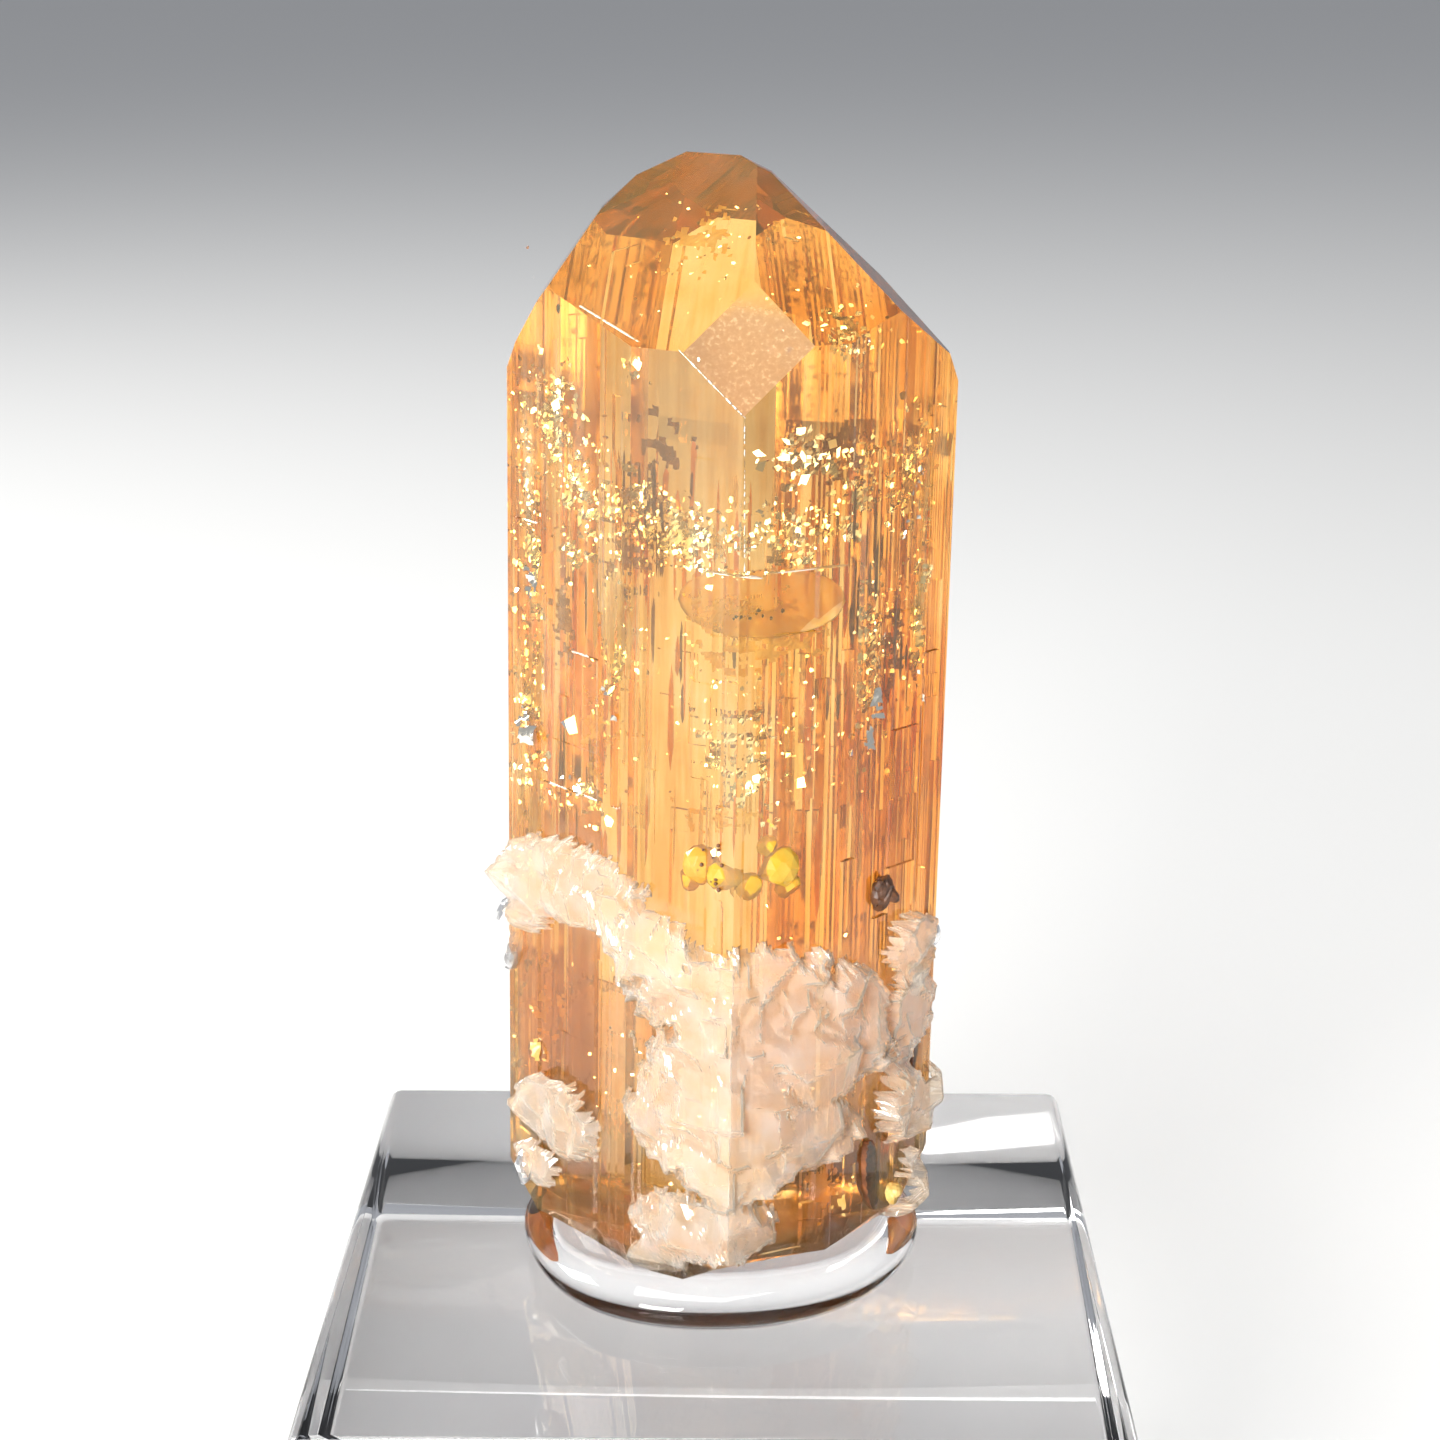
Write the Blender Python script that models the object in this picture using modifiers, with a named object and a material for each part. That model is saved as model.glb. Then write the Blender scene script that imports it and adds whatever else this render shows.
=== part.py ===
"""A rough topaz crystal with a natural point, set in clear gel on a clear display block.

Units are metres and +Z is up. The origin is the middle of the block's underside, and -Y is the front.
The crystal's long axis runs up, its b axis runs along X and its a axis points to the front.
"""

import math
import random

import bmesh
import bpy
from mathutils import Matrix, Vector

MM = 0.001
FIT_GAP = 0.3 * MM

# Display block
BLOCK_SIDE = 32 * MM
BLOCK_HEIGHT = 19 * MM
BLOCK_BEVEL = 0.6 * MM
BLOCK_BEVEL_SEGMENTS = 3

# Topaz: lengths of the a and c axes for a b axis of 1, which fix every face angle
AXIS_A = 0.52854
AXIS_C = 0.47698

# Crystal, upright, with heights measured from the block's top face, then leaned a little to the right
CRYSTAL_AXIS = Vector((0.45 * MM, 0.2 * MM, 0))
CRYSTAL_FOOT = 0.8 * MM
POINT_HEIGHT = 45.7 * MM
LEAN_DEG = 1.0
LEAN_PIVOT = 36 * MM

# Prism faces, round from the front: a and b index, distance from the crystal's axis
PRISM_FACES = [
    (1, 1, 6.53 * MM),
    (1, 2, 6.70 * MM),
    (-1, 2, 6.09 * MM),
    (-1, 1, 5.88 * MM),
    (-1, -1, 6.72 * MM),
    (-1, -2, 6.70 * MM),
    (1, -2, 6.01 * MM),
    (1, -1, 6.02 * MM),
]

# Faces of the point: indices, and one place that each passes through
POINT_FACES = [
    ((1, -1, 1), (-1.37 * MM, -5.65 * MM, 39.1 * MM)),
    ((1, 1, 1), (3.0 * MM, -5.84 * MM, 39.4 * MM)),
    ((-1, -1, 1), (-2.0 * MM, 6.5 * MM, 41.0 * MM)),
    ((-1, 1, 1), (2.0 * MM, 6.0 * MM, 40.1 * MM)),
    ((2, 0, 1), (1.0 * MM, -6.9 * MM, 36.95 * MM)),
    ((2, 1, 1), (2.63 * MM, -6.04 * MM, 38.3 * MM)),
    ((-2, 0, 1), (-0.45 * MM, 7.3 * MM, 38.6 * MM)),
    ((-2, -1, 1), (-2.6 * MM, 6.2 * MM, 39.6 * MM)),
    ((0, 1, 1), (0.6 * MM, 0, POINT_HEIGHT)),
    ((0, 2, 1), (5.0 * MM, 0, 42.1 * MM)),
    ((0, 6, 1), (9.05 * MM, 0, 37.9 * MM)),
    ((0, -4, 3), (-1.9 * MM, 0, POINT_HEIGHT)),
    ((0, -2, 1), (-3.7 * MM, 0, 44.4 * MM)),
    ((0, -3, 1), (-6.2 * MM, 0, 41.3 * MM)),
    ((0, -4, 1), (-7.4 * MM, 0, 39.4 * MM)),
    ((0, -6, 1), (-8.1 * MM, 0, 37.9 * MM)),
    ((0, 0, 1), (0, 0, POINT_HEIGHT)),
]

# Broken faces that narrow the foot: outward direction, and one place that each passes through
FOOT_BREAKS = [
    ((-0.78, 0.10, -0.62), (-7.6 * MM, 0.5 * MM, 2.6 * MM)),
    ((-0.62, -0.50, -0.60), (-5.2 * MM, -2.6 * MM, 1.5 * MM)),
    ((-0.20, -0.86, -0.46), (-2.6 * MM, -5.6 * MM, 0.8 * MM)),
    ((0.30, -0.72, -0.62), (2.4 * MM, -5.0 * MM, 1.3 * MM)),
    ((0.66, -0.48, -0.58), (5.8 * MM, -2.8 * MM, 1.6 * MM)),
    ((0.84, 0.16, -0.52), (7.4 * MM, 0.4 * MM, 2.2 * MM)),
    ((0.44, 0.68, -0.58), (4.0 * MM, 4.6 * MM, 1.6 * MM)),
    ((-0.30, 0.74, -0.60), (-2.0 * MM, 5.8 * MM, 1.5 * MM)),
    ((-0.66, 0.46, -0.58), (-5.4 * MM, 3.4 * MM, 1.9 * MM)),
    ((0.14, 0.06, -0.99), (-1.8 * MM, -5.2 * MM, 0.8 * MM)),
]

# Growth ledges on the prism faces
LEDGE_NARROWEST = 0.3 * MM
LEDGE_WIDEST = 1.1 * MM
LEDGE_DEPTH = 0.15 * MM
LEDGE_EDGE = 0.03 * MM
LEDGE_BANDS = 7
LEDGE_CHANGE = 0.4
LEDGE_SEED = 11

# Small crystals grown on the sides. Turn is in degrees round from the front, positive to the right.
# Patches: middle turn and height, half spread of each, how many, usual half size of one
CRUST_PATCHES = [
    (-52, 17.6 * MM, 22, 1.6 * MM, 10, 0.85 * MM),
    (-30, 15.2 * MM, 13, 1.6 * MM, 7, 1.00 * MM),
    (-2, 13.0 * MM, 22, 1.3 * MM, 11, 1.05 * MM),
    (4, 9.6 * MM, 24, 2.3 * MM, 17, 1.20 * MM),
    (48, 10.2 * MM, 20, 2.2 * MM, 10, 0.90 * MM),
    (62, 7.4 * MM, 14, 0.9 * MM, 5, 1.00 * MM),
    (12, 6.0 * MM, 26, 1.3 * MM, 11, 1.15 * MM),
    (-68, 5.8 * MM, 20, 1.4 * MM, 8, 0.80 * MM),
    (-10, 3.4 * MM, 34, 0.5 * MM, 8, 0.95 * MM),
    (115, 6.0 * MM, 22, 2.6 * MM, 8, 0.95 * MM),
    (185, 7.5 * MM, 34, 3.2 * MM, 16, 1.15 * MM),
    (-118, 9.0 * MM, 20, 3.0 * MM, 9, 0.90 * MM),
]
CRUST_SEED = 23
CRUST_SINK = 0.6

# Single crystals: turn, height, half sizes across, outwards and up, tilt
KNOBS = [
    (-93, 13.7 * MM, (0.8 * MM, 0.75 * MM, 1.7 * MM), 8),
    (88, 14.4 * MM, (0.45 * MM, 0.4 * MM, 0.55 * MM), 0),
    (80, 12.9 * MM, (0.55 * MM, 0.4 * MM, 0.85 * MM), -12),
    (-88, 3.6 * MM, (0.9 * MM, 0.6 * MM, 0.9 * MM), 0),
]

# Pits and chips: turn, height, half sizes across, outwards and up, tilt
PITS = [
    (66, 4.7 * MM, (0.60 * MM, 1.1 * MM, 1.75 * MM), -14),
    (82, 9.3 * MM, (0.50 * MM, 0.6 * MM, 0.85 * MM), 20),
    (-93.3, 23.3 * MM, (1.00 * MM, 0.5 * MM, 0.5 * MM), 0),
    (-93.3, 32.6 * MM, (1.20 * MM, 0.25 * MM, 0.8 * MM), 0),
    (87.1, 23.8 * MM, (1.20 * MM, 0.25 * MM, 1.3 * MM), 0),
]

# Grains of other minerals in pockets: turn, height, half sizes, tilt
DARK_GRAIN = (64.6, 17.0 * MM, (0.45 * MM, 0.45 * MM, 0.75 * MM), 28)
GOLD_GRAIN = (75, 3.5 * MM, (0.42 * MM, 0.42 * MM, 0.48 * MM), 10)
GRAIN_SEED = 5

# Clear gel round the foot
GEL_CENTRE = Vector((0.0 * MM, -0.7 * MM, 1.1 * MM))
GEL_REACH = Vector((8.3 * MM, 7.8 * MM, 1.4 * MM))
GEL_FULLNESS = 0.75
GEL_WAVE = 0.025
GEL_SEGMENTS = 48
GEL_RINGS = 14

COLOURS = {
    "topaz": ((0.86, 0.47, 0.15), 0.05),
    "gel": ((0.93, 0.94, 0.95), 0.05),
    "acrylic": ((0.95, 0.96, 0.97), 0.02),
    "dark_mineral": ((0.07, 0.025, 0.012), 0.45),
    "gold_mineral": ((0.55, 0.36, 0.08), 0.4),
}


def clear_scene():
    for obj in list(bpy.data.objects):
        bpy.data.objects.remove(obj, do_unlink=True)


def collection(name, hidden=False):
    made = bpy.data.collections.new(name)
    bpy.context.scene.collection.children.link(made)
    made.hide_render = hidden
    return made


def material(name):
    colour, roughness = COLOURS[name]
    made = bpy.data.materials.new(name)
    made.use_nodes = True
    shader = made.node_tree.nodes["Principled BSDF"]
    shader.inputs["Base Color"].default_value = (*colour, 1)
    shader.inputs["Roughness"].default_value = roughness
    shader.inputs["Metallic"].default_value = 0
    return made


def add_object(name, bm, group, finish=None):
    bmesh.ops.recalc_face_normals(bm, faces=bm.faces)
    mesh = bpy.data.meshes.new(name)
    bm.to_mesh(mesh)
    bm.free()
    obj = bpy.data.objects.new(name, mesh)
    group.objects.link(obj)
    if finish:
        mesh.materials.append(finish)
    return obj


def combine(obj, helper, operation):
    """A live Boolean of obj with a helper that is only drawn as wire."""
    helper.hide_render = True
    helper.display_type = "WIRE"
    modifier = obj.modifiers.new(helper.name, "BOOLEAN")
    modifier.operation = operation
    modifier.solver = "EXACT"
    modifier.use_self = True
    modifier.object = helper


def crystal_direction(a_index, b_index, c_index):
    """Outward direction of the crystal face with these indices."""
    return Vector((b_index, -a_index / AXIS_A, c_index / AXIS_C)).normalized()


def cut_away(bm, place, outward):
    """Slices off what lies beyond a plane, and closes the cut."""
    everything = bm.verts[:] + bm.edges[:] + bm.faces[:]
    bmesh.ops.bisect_plane(
        bm, geom=everything, dist=1e-7, plane_co=place, plane_no=outward, clear_outer=True
    )
    rim = [edge for edge in bm.edges if edge.is_boundary]
    if rim:
        bmesh.ops.contextual_create(bm, geom=rim)


def section_corners(grow=0.0):
    """Corners of the prism's cross-section, one after each face, about the crystal's axis."""
    planes = []
    for a_index, b_index, distance in PRISM_FACES:
        outward = crystal_direction(a_index, b_index, 0)
        planes.append((outward.x, outward.y, distance + grow))
    corners = []
    for (ax, ay, ad), (bx, by, bd) in zip(planes, planes[1:] + planes[:1]):
        determinant = ax * by - ay * bx
        x = (ad * by - bd * ay) / determinant
        y = (ax * bd - bx * ad) / determinant
        corners.append(Vector((x, y, 0)))
    return corners


def ledge_places(length, chance):
    """Shares of a prism face's length where one ledge ends and the next begins."""
    places = []
    at = chance.uniform(LEDGE_NARROWEST, LEDGE_WIDEST)
    while at < length - LEDGE_NARROWEST:
        places.append(at / length)
        at += chance.uniform(LEDGE_NARROWEST, LEDGE_WIDEST)
    return places


def ledge_depths(count, chance, before=None):
    """How far each strip of a face is sunk, changed here and there from one band to the next."""
    depths = [0.0] * count
    for strip in range(1, count - 1):
        fresh = chance.uniform(0, LEDGE_DEPTH)
        keep = before and chance.random() > LEDGE_CHANGE
        depths[strip] = before[strip] if keep else fresh
    return depths


def ledged_outlines(bands):
    """One outline of the prism for each band, all with the same count of points."""
    chance = random.Random(LEDGE_SEED)
    corners = section_corners()
    outlines = [[] for _ in range(bands)]
    for index, (a_index, b_index, _) in enumerate(PRISM_FACES):
        start, end = corners[index - 1], corners[index]
        outward = crystal_direction(a_index, b_index, 0)
        half_edge = LEDGE_EDGE / (end - start).length
        shares = [0.0]
        for place in ledge_places((end - start).length, chance):
            shares += [place - half_edge, place + half_edge]
        depths = None
        for outline in outlines:
            depths = ledge_depths(len(shares) // 2 + 1, chance, depths)
            for number, share in enumerate(shares):
                outline.append(start.lerp(end, share) - outward * depths[number // 2])
    return outlines


def prism(outlines, heights):
    """An upright from a cylinder primitive, with one ring of points for each outline."""
    count = len(outlines[0])
    bm = bmesh.new()
    bmesh.ops.create_cone(bm, cap_ends=True, segments=count, radius1=1, radius2=1, depth=1)
    uprights = [edge for edge in bm.edges if abs(edge.verts[0].co.z - edge.verts[1].co.z) > 0.5]
    if len(heights) > 2:
        bmesh.ops.subdivide_edges(bm, edges=uprights, cuts=len(heights) - 2, use_grid_fill=True)
    for vertex in bm.verts:
        row = round((vertex.co.z + 0.5) * (len(heights) - 1))
        turn = math.atan2(vertex.co.y, vertex.co.x) / math.tau
        vertex.co = CRYSTAL_AXIS + outlines[row][round(turn * count) % count]
        vertex.co.z = heights[row]
    return bm


def ledged_prism():
    """The striated prism: each band of ledges has a ring at its foot and one at its head."""
    bottom, top = CRYSTAL_FOOT, POINT_HEIGHT + 2 * MM
    outlines = ledged_outlines(LEDGE_BANDS)
    rings, heights = [], []
    for band, outline in enumerate(outlines):
        shift = 0.35 * math.sin(5 * band)
        foot = bottom + (top - bottom) * (band + shift) / LEDGE_BANDS
        if band:
            heights += [foot - LEDGE_EDGE, foot + LEDGE_EDGE]
        rings += [outline, outline]
    return prism(rings, [bottom] + heights + [top])


def plain_prism(grow):
    return prism([section_corners(grow)] * 2, [CRYSTAL_FOOT - grow, POINT_HEIGHT])


def cut_foot(bm, grow=0.0):
    for outward, place in FOOT_BREAKS:
        outward = Vector(outward).normalized()
        cut_away(bm, Vector(place) + outward * grow, outward)


def surface_place(turn_deg, height):
    """The place on the crystal's side at this turn from the front, and the direction outwards."""
    turn = math.radians(turn_deg)
    outwards = Vector((math.sin(turn), -math.cos(turn), 0))
    axis = CRYSTAL_AXIS + Vector((0, 0, height))
    reaches = []
    for a_index, b_index, distance in PRISM_FACES:
        reaches.append((distance, crystal_direction(a_index, b_index, 0)))
    for normal, place in FOOT_BREAKS:
        normal = Vector(normal).normalized()
        reaches.append((normal.dot(Vector(place) - axis), normal))
    reach = min(gap / normal.dot(outwards) for gap, normal in reaches if normal.dot(outwards) > 0.05)
    return axis + outwards * reach, outwards


def nugget(bm, turn_deg, height, half_sizes, tilt_deg, chance, grow=0.0, sink=0.0, facets=1):
    """Adds a small rough crystal with flat faces, centred a share of its size inside the surface."""
    place, outwards = surface_place(turn_deg, height)
    place = place - outwards * half_sizes[1] * sink
    made = bmesh.ops.create_icosphere(bm, subdivisions=facets, radius=1)["verts"]
    size = Matrix.Diagonal([*(half + grow for half in half_sizes), 1])
    facing = Matrix.Rotation(math.radians(turn_deg), 4, "Z")
    tilt = Matrix.Rotation(math.radians(tilt_deg), 4, "Y")
    spin = Matrix.Rotation(chance.uniform(0, math.tau), 4, chance.choice("XYZ"))
    for vertex in made:
        vertex.co *= chance.uniform(0.86, 1.12)
    bmesh.ops.transform(bm, verts=made, matrix=Matrix.Translation(place) @ facing @ tilt @ size @ spin)


def crust(grow=0.0):
    """All the small crystals that have grown on the prism and round its broken foot."""
    chance = random.Random(CRUST_SEED)
    bm = bmesh.new()
    for turn, height, turn_spread, height_spread, count, size in CRUST_PATCHES:
        for _ in range(count):
            at_turn = turn + chance.uniform(-1, 1) * turn_spread
            at_height = height + chance.uniform(-1, 1) * height_spread
            half_sizes = [size * chance.uniform(0.75, 1.25) for _ in range(3)]
            tilt = chance.uniform(-60, 60)
            nugget(bm, at_turn, at_height, half_sizes, tilt, chance, grow, CRUST_SINK)
    for turn, height, half_sizes, tilt in KNOBS:
        nugget(bm, turn, height, half_sizes, tilt, chance, grow, 0.1, 2)
    return bm


def grain(settings, grow=0.0):
    chance = random.Random(GRAIN_SEED)
    bm = bmesh.new()
    nugget(bm, *settings, chance, grow, 0, 2)
    return bm


def pits():
    """Everything that is hollowed out of the crystal: chips, cavities and the grains' pockets."""
    chance = random.Random(GRAIN_SEED)
    bm = bmesh.new()
    for turn, height, half_sizes, tilt in PITS:
        nugget(bm, turn, height, half_sizes, tilt, chance, 0, 0, 2)
    return bm


def stand_up(obj):
    """Sets a shape that was made about the block's top face on the block, with the crystal's lean."""
    pivot = Matrix.Translation((0, 0, BLOCK_HEIGHT + LEAN_PIVOT))
    lean = Matrix.Rotation(math.radians(LEAN_DEG), 4, "Y")
    obj.matrix_world = pivot @ lean @ Matrix.Translation((0, 0, -LEAN_PIVOT))
    return obj


def topaz_crystal(parts, helpers):
    bm = ledged_prism()
    for indices, place in POINT_FACES:
        cut_away(bm, Vector(place), crystal_direction(*indices))
    cut_foot(bm)
    crystal = stand_up(add_object("topaz_crystal", bm, parts, material("topaz")))
    combine(crystal, stand_up(add_object("crust", crust(), helpers)), "UNION")
    combine(crystal, stand_up(add_object("pits", pits(), helpers)), "DIFFERENCE")
    for name, settings in (("dark_pocket", DARK_GRAIN), ("gold_pocket", GOLD_GRAIN)):
        pocket = stand_up(add_object(name, grain(settings, 1.5 * FIT_GAP), helpers))
        combine(crystal, pocket, "DIFFERENCE")
    return crystal


def mineral_grains(parts):
    stand_up(add_object("dark_mineral_grain", grain(DARK_GRAIN), parts, material("dark_mineral")))
    stand_up(add_object("gold_mineral_grain", grain(GOLD_GRAIN), parts, material("gold_mineral")))


def mounting_gel(parts, helpers):
    """A blob with a rounded lip, open where the crystal's foot stands in it."""
    bm = bmesh.new()
    bmesh.ops.create_uvsphere(bm, u_segments=GEL_SEGMENTS, v_segments=GEL_RINGS, radius=1)
    for vertex in bm.verts:
        turn = math.atan2(vertex.co.y, vertex.co.x)
        wave = 1 + GEL_WAVE * math.sin(3 * turn + 0.6) + GEL_WAVE * math.sin(5 * turn) / 2
        spread = vertex.co.xy.length ** GEL_FULLNESS * wave
        rise = math.copysign(abs(vertex.co.z) ** GEL_FULLNESS, vertex.co.z)
        vertex.co = Vector((spread * math.cos(turn), spread * math.sin(turn), rise))
        vertex.co = vertex.co * GEL_REACH + GEL_CENTRE
    cut_away(bm, Vector((0, 0, FIT_GAP)), Vector((0, 0, -1)))
    gel = add_object("mounting_gel", bm, parts, material("gel"))
    gel.location.z = BLOCK_HEIGHT
    room = plain_prism(FIT_GAP)
    cut_foot(room, FIT_GAP)
    combine(gel, stand_up(add_object("foot_room", room, helpers)), "DIFFERENCE")
    combine(gel, stand_up(add_object("crust_room", crust(1.5 * FIT_GAP), helpers)), "DIFFERENCE")
    return gel


def display_block(parts):
    bm = bmesh.new()
    bmesh.ops.create_cube(bm, size=1)
    bmesh.ops.scale(bm, verts=bm.verts, vec=(BLOCK_SIDE, BLOCK_SIDE, BLOCK_HEIGHT))
    block = add_object("display_block", bm, parts, material("acrylic"))
    block.location.z = BLOCK_HEIGHT / 2
    bevel = block.modifiers.new("polished edges", "BEVEL")
    bevel.width = BLOCK_BEVEL
    bevel.segments = BLOCK_BEVEL_SEGMENTS
    return block


def main():
    clear_scene()
    parts = collection("topaz crystal on display block")
    helpers = collection("cutters", hidden=True)
    display_block(parts)
    mounting_gel(parts, helpers)
    topaz_crystal(parts, helpers)
    mineral_grains(parts)


if __name__ == "__main__":
    main()
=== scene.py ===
"""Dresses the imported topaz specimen: crystal, crust, inclusions, gel, display block and a plain stage.

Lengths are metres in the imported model's own frame: +Z up, -Y towards the camera's side, and the origin
in the middle of the display block's underside. Heights in the tables are measured from the block's top.
"""

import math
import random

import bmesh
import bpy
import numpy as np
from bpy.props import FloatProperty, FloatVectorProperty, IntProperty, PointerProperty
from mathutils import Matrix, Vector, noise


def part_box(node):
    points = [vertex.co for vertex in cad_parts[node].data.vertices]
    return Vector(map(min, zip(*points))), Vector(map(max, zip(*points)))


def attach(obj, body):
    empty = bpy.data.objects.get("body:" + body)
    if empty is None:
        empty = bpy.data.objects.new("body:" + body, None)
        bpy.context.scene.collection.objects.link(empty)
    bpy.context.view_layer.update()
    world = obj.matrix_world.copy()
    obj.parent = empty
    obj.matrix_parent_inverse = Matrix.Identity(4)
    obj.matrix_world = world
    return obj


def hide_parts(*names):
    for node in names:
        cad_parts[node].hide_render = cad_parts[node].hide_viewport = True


bl_info = {
    "name": "Topaz Specimen",
    "version": (1, 0, 0),
    "blender": (4, 5, 0),
    "location": "View3D > Sidebar > Specimen",
    "description": "Builds a golden topaz crystal on a clear block with its crust, gel and inclusions",
    "category": "Add Mesh",
}

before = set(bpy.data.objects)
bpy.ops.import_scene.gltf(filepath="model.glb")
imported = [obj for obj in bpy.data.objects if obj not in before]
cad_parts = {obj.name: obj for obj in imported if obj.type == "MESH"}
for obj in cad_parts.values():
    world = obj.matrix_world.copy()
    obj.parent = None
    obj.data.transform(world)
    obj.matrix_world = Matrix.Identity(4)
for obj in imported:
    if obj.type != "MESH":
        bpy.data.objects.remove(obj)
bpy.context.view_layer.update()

MM = 0.001
BLOCK_LOW, BLOCK_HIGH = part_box("display_block")
BLOCK_TOP = BLOCK_HIGH.z

# Topaz: lengths of the a and c axes for a b axis of 1, which fix every face angle
AXIS_A = 0.52854
AXIS_C = 0.47698
CRYSTAL_AXIS = Vector((0.45 * MM, 0.2 * MM, 0))
TOPAZ_IOR = 1.62
CRYSTAL_FOOT = 0.8 * MM
POINT_HEIGHT = 45.7 * MM
LEAN = math.radians(1.0)
LEAN_PIVOT = 36 * MM

# Prism faces, round from the front: a and b index, distance from the crystal's axis
PRISM_FACES = [
    (1, 1, 6.53 * MM),
    (1, 2, 6.70 * MM),
    (-1, 2, 6.09 * MM),
    (-1, 1, 5.88 * MM),
    (-1, -1, 6.72 * MM),
    (-1, -2, 6.70 * MM),
    (1, -2, 6.01 * MM),
    (1, -1, 6.02 * MM),
]
FRONT_FACES = (0, 7)

# Faces of the point: indices, and one place that each passes through
POINT_FACES = [
    ((1, -1, 1), (-1.37 * MM, -5.65 * MM, 39.1 * MM)),
    ((1, 1, 1), (3.0 * MM, -5.84 * MM, 39.4 * MM)),
    ((-1, -1, 1), (-2.0 * MM, 6.5 * MM, 41.0 * MM)),
    ((-1, 1, 1), (2.0 * MM, 6.0 * MM, 40.1 * MM)),
    ((2, 0, 1), (1.0 * MM, -6.9 * MM, 36.95 * MM)),
    ((-2, 0, 1), (-0.45 * MM, 7.3 * MM, 38.6 * MM)),
    ((-2, -1, 1), (-2.6 * MM, 6.2 * MM, 39.6 * MM)),
    ((0, 1, 1), (0.6 * MM, 0, POINT_HEIGHT)),
    ((0, 2, 1), (5.0 * MM, 0, 42.1 * MM)),
    ((0, 6, 1), (9.05 * MM, 0, 37.9 * MM)),
    ((0, -4, 3), (-1.9 * MM, 0, POINT_HEIGHT)),
    ((0, -2, 1), (-3.7 * MM, 0, 44.4 * MM)),
    ((0, -3, 1), (-6.2 * MM, 0, 41.3 * MM)),
    ((0, -4, 1), (-7.4 * MM, 0, 39.4 * MM)),
    ((0, -6, 1), (-8.1 * MM, 0, 37.9 * MM)),
    ((0, 0, 1), (0, 0, POINT_HEIGHT)),
]
FROSTED_FACE = (2, 0, 1)

# Broken faces that narrow the foot: outward direction, and one place that each passes through
FOOT_BREAKS = [
    ((-0.78, 0.10, -0.62), (-7.6 * MM, 0.5 * MM, 2.6 * MM)),
    ((-0.62, -0.50, -0.60), (-5.2 * MM, -2.6 * MM, 1.5 * MM)),
    ((-0.20, -0.86, -0.46), (-2.6 * MM, -5.6 * MM, 0.8 * MM)),
    ((0.30, -0.72, -0.62), (2.4 * MM, -5.0 * MM, 1.3 * MM)),
    ((0.66, -0.48, -0.58), (5.8 * MM, -2.8 * MM, 1.6 * MM)),
    ((0.84, 0.16, -0.52), (7.4 * MM, 0.4 * MM, 2.2 * MM)),
    ((0.44, 0.68, -0.58), (4.0 * MM, 4.6 * MM, 1.6 * MM)),
    ((-0.30, 0.74, -0.60), (-2.0 * MM, 5.8 * MM, 1.5 * MM)),
    ((-0.66, 0.46, -0.58), (-5.4 * MM, 3.4 * MM, 1.9 * MM)),
    ((0.14, 0.06, -0.99), (-1.8 * MM, -5.2 * MM, 0.8 * MM)),
]

# Camera: the photograph's own view
CAMERA_PLACE = Vector((1.6 * MM, -107.8 * MM, 74.9 * MM))
KEY_PLACE = Vector((-0.20, -0.42, 0.17))
CAMERA_PITCH = math.radians(16.81)
CAMERA_YAW = math.radians(0.82)
CAMERA_LENS = 70


class CrystalSettings(bpy.types.PropertyGroup):
    """Sizes and colours of the crystal."""

    ridge_pitch: FloatProperty(
        name="Ridge pitch", description="Width of the finest upright ridges",
        default=0.15 * MM, unit="LENGTH")
    ledge_depth: FloatProperty(
        name="Ledge depth", description="How far growth ledges are sunk in the prism faces",
        default=0.12 * MM, unit="LENGTH")
    band_height: FloatProperty(
        name="Band height", description="Usual height between the places where ledges end",
        default=0.95 * MM, unit="LENGTH")
    body_colour: FloatVectorProperty(
        name="Body colour", description="Colour that light keeps on its way through the crystal",
        default=(0.98, 0.63, 0.03), size=3, subtype="COLOR")
    clearness: FloatProperty(
        name="Clearness", description="Share of light that goes through the surface",
        default=0.93)
    depth_of_colour: FloatProperty(
        name="Depth of colour", description="Absorption per metre of crystal",
        default=85)


class StageSettings(bpy.types.PropertyGroup):
    """Colours and strength of the plain studio."""

    floor_colour: FloatVectorProperty(
        name="Floor", description="Colour of the plain floor",
        default=(0.7, 0.7, 0.69), size=3, subtype="COLOR")
    sky_strength: FloatProperty(
        name="Room light", description="Strength of the even light from all round",
        default=0.4)
    key_power: FloatProperty(
        name="Key light", description="Power of the large soft light",
        default=4.2, unit="POWER")


def select_only(obj):
    bpy.ops.object.select_all(action="DESELECT")
    bpy.context.view_layer.objects.active = obj
    obj.select_set(True)


def name_piece(obj, name):
    obj.name = name
    obj.data.name = name
    return obj


def set_places(obj, places):
    obj.data.vertices.foreach_set("co", np.asarray(places, dtype=np.float32).ravel())
    obj.data.update()


def get_places(obj):
    places = np.empty(len(obj.data.vertices) * 3, dtype=np.float32)
    obj.data.vertices.foreach_get("co", places)
    return places.reshape(-1, 3)


def stand_up_matrix():
    """From heights about the block's top face to the frame, with the crystal's lean."""
    pivot = Matrix.Translation((0, 0, BLOCK_TOP + LEAN_PIVOT))
    return pivot @ Matrix.Rotation(LEAN, 4, "Y") @ Matrix.Translation((0, 0, -LEAN_PIVOT))


def crystal_direction(a_index, b_index, c_index):
    """Outward direction of the crystal face with these indices."""
    return Vector((b_index, -a_index / AXIS_A, c_index / AXIS_C)).normalized()


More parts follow.
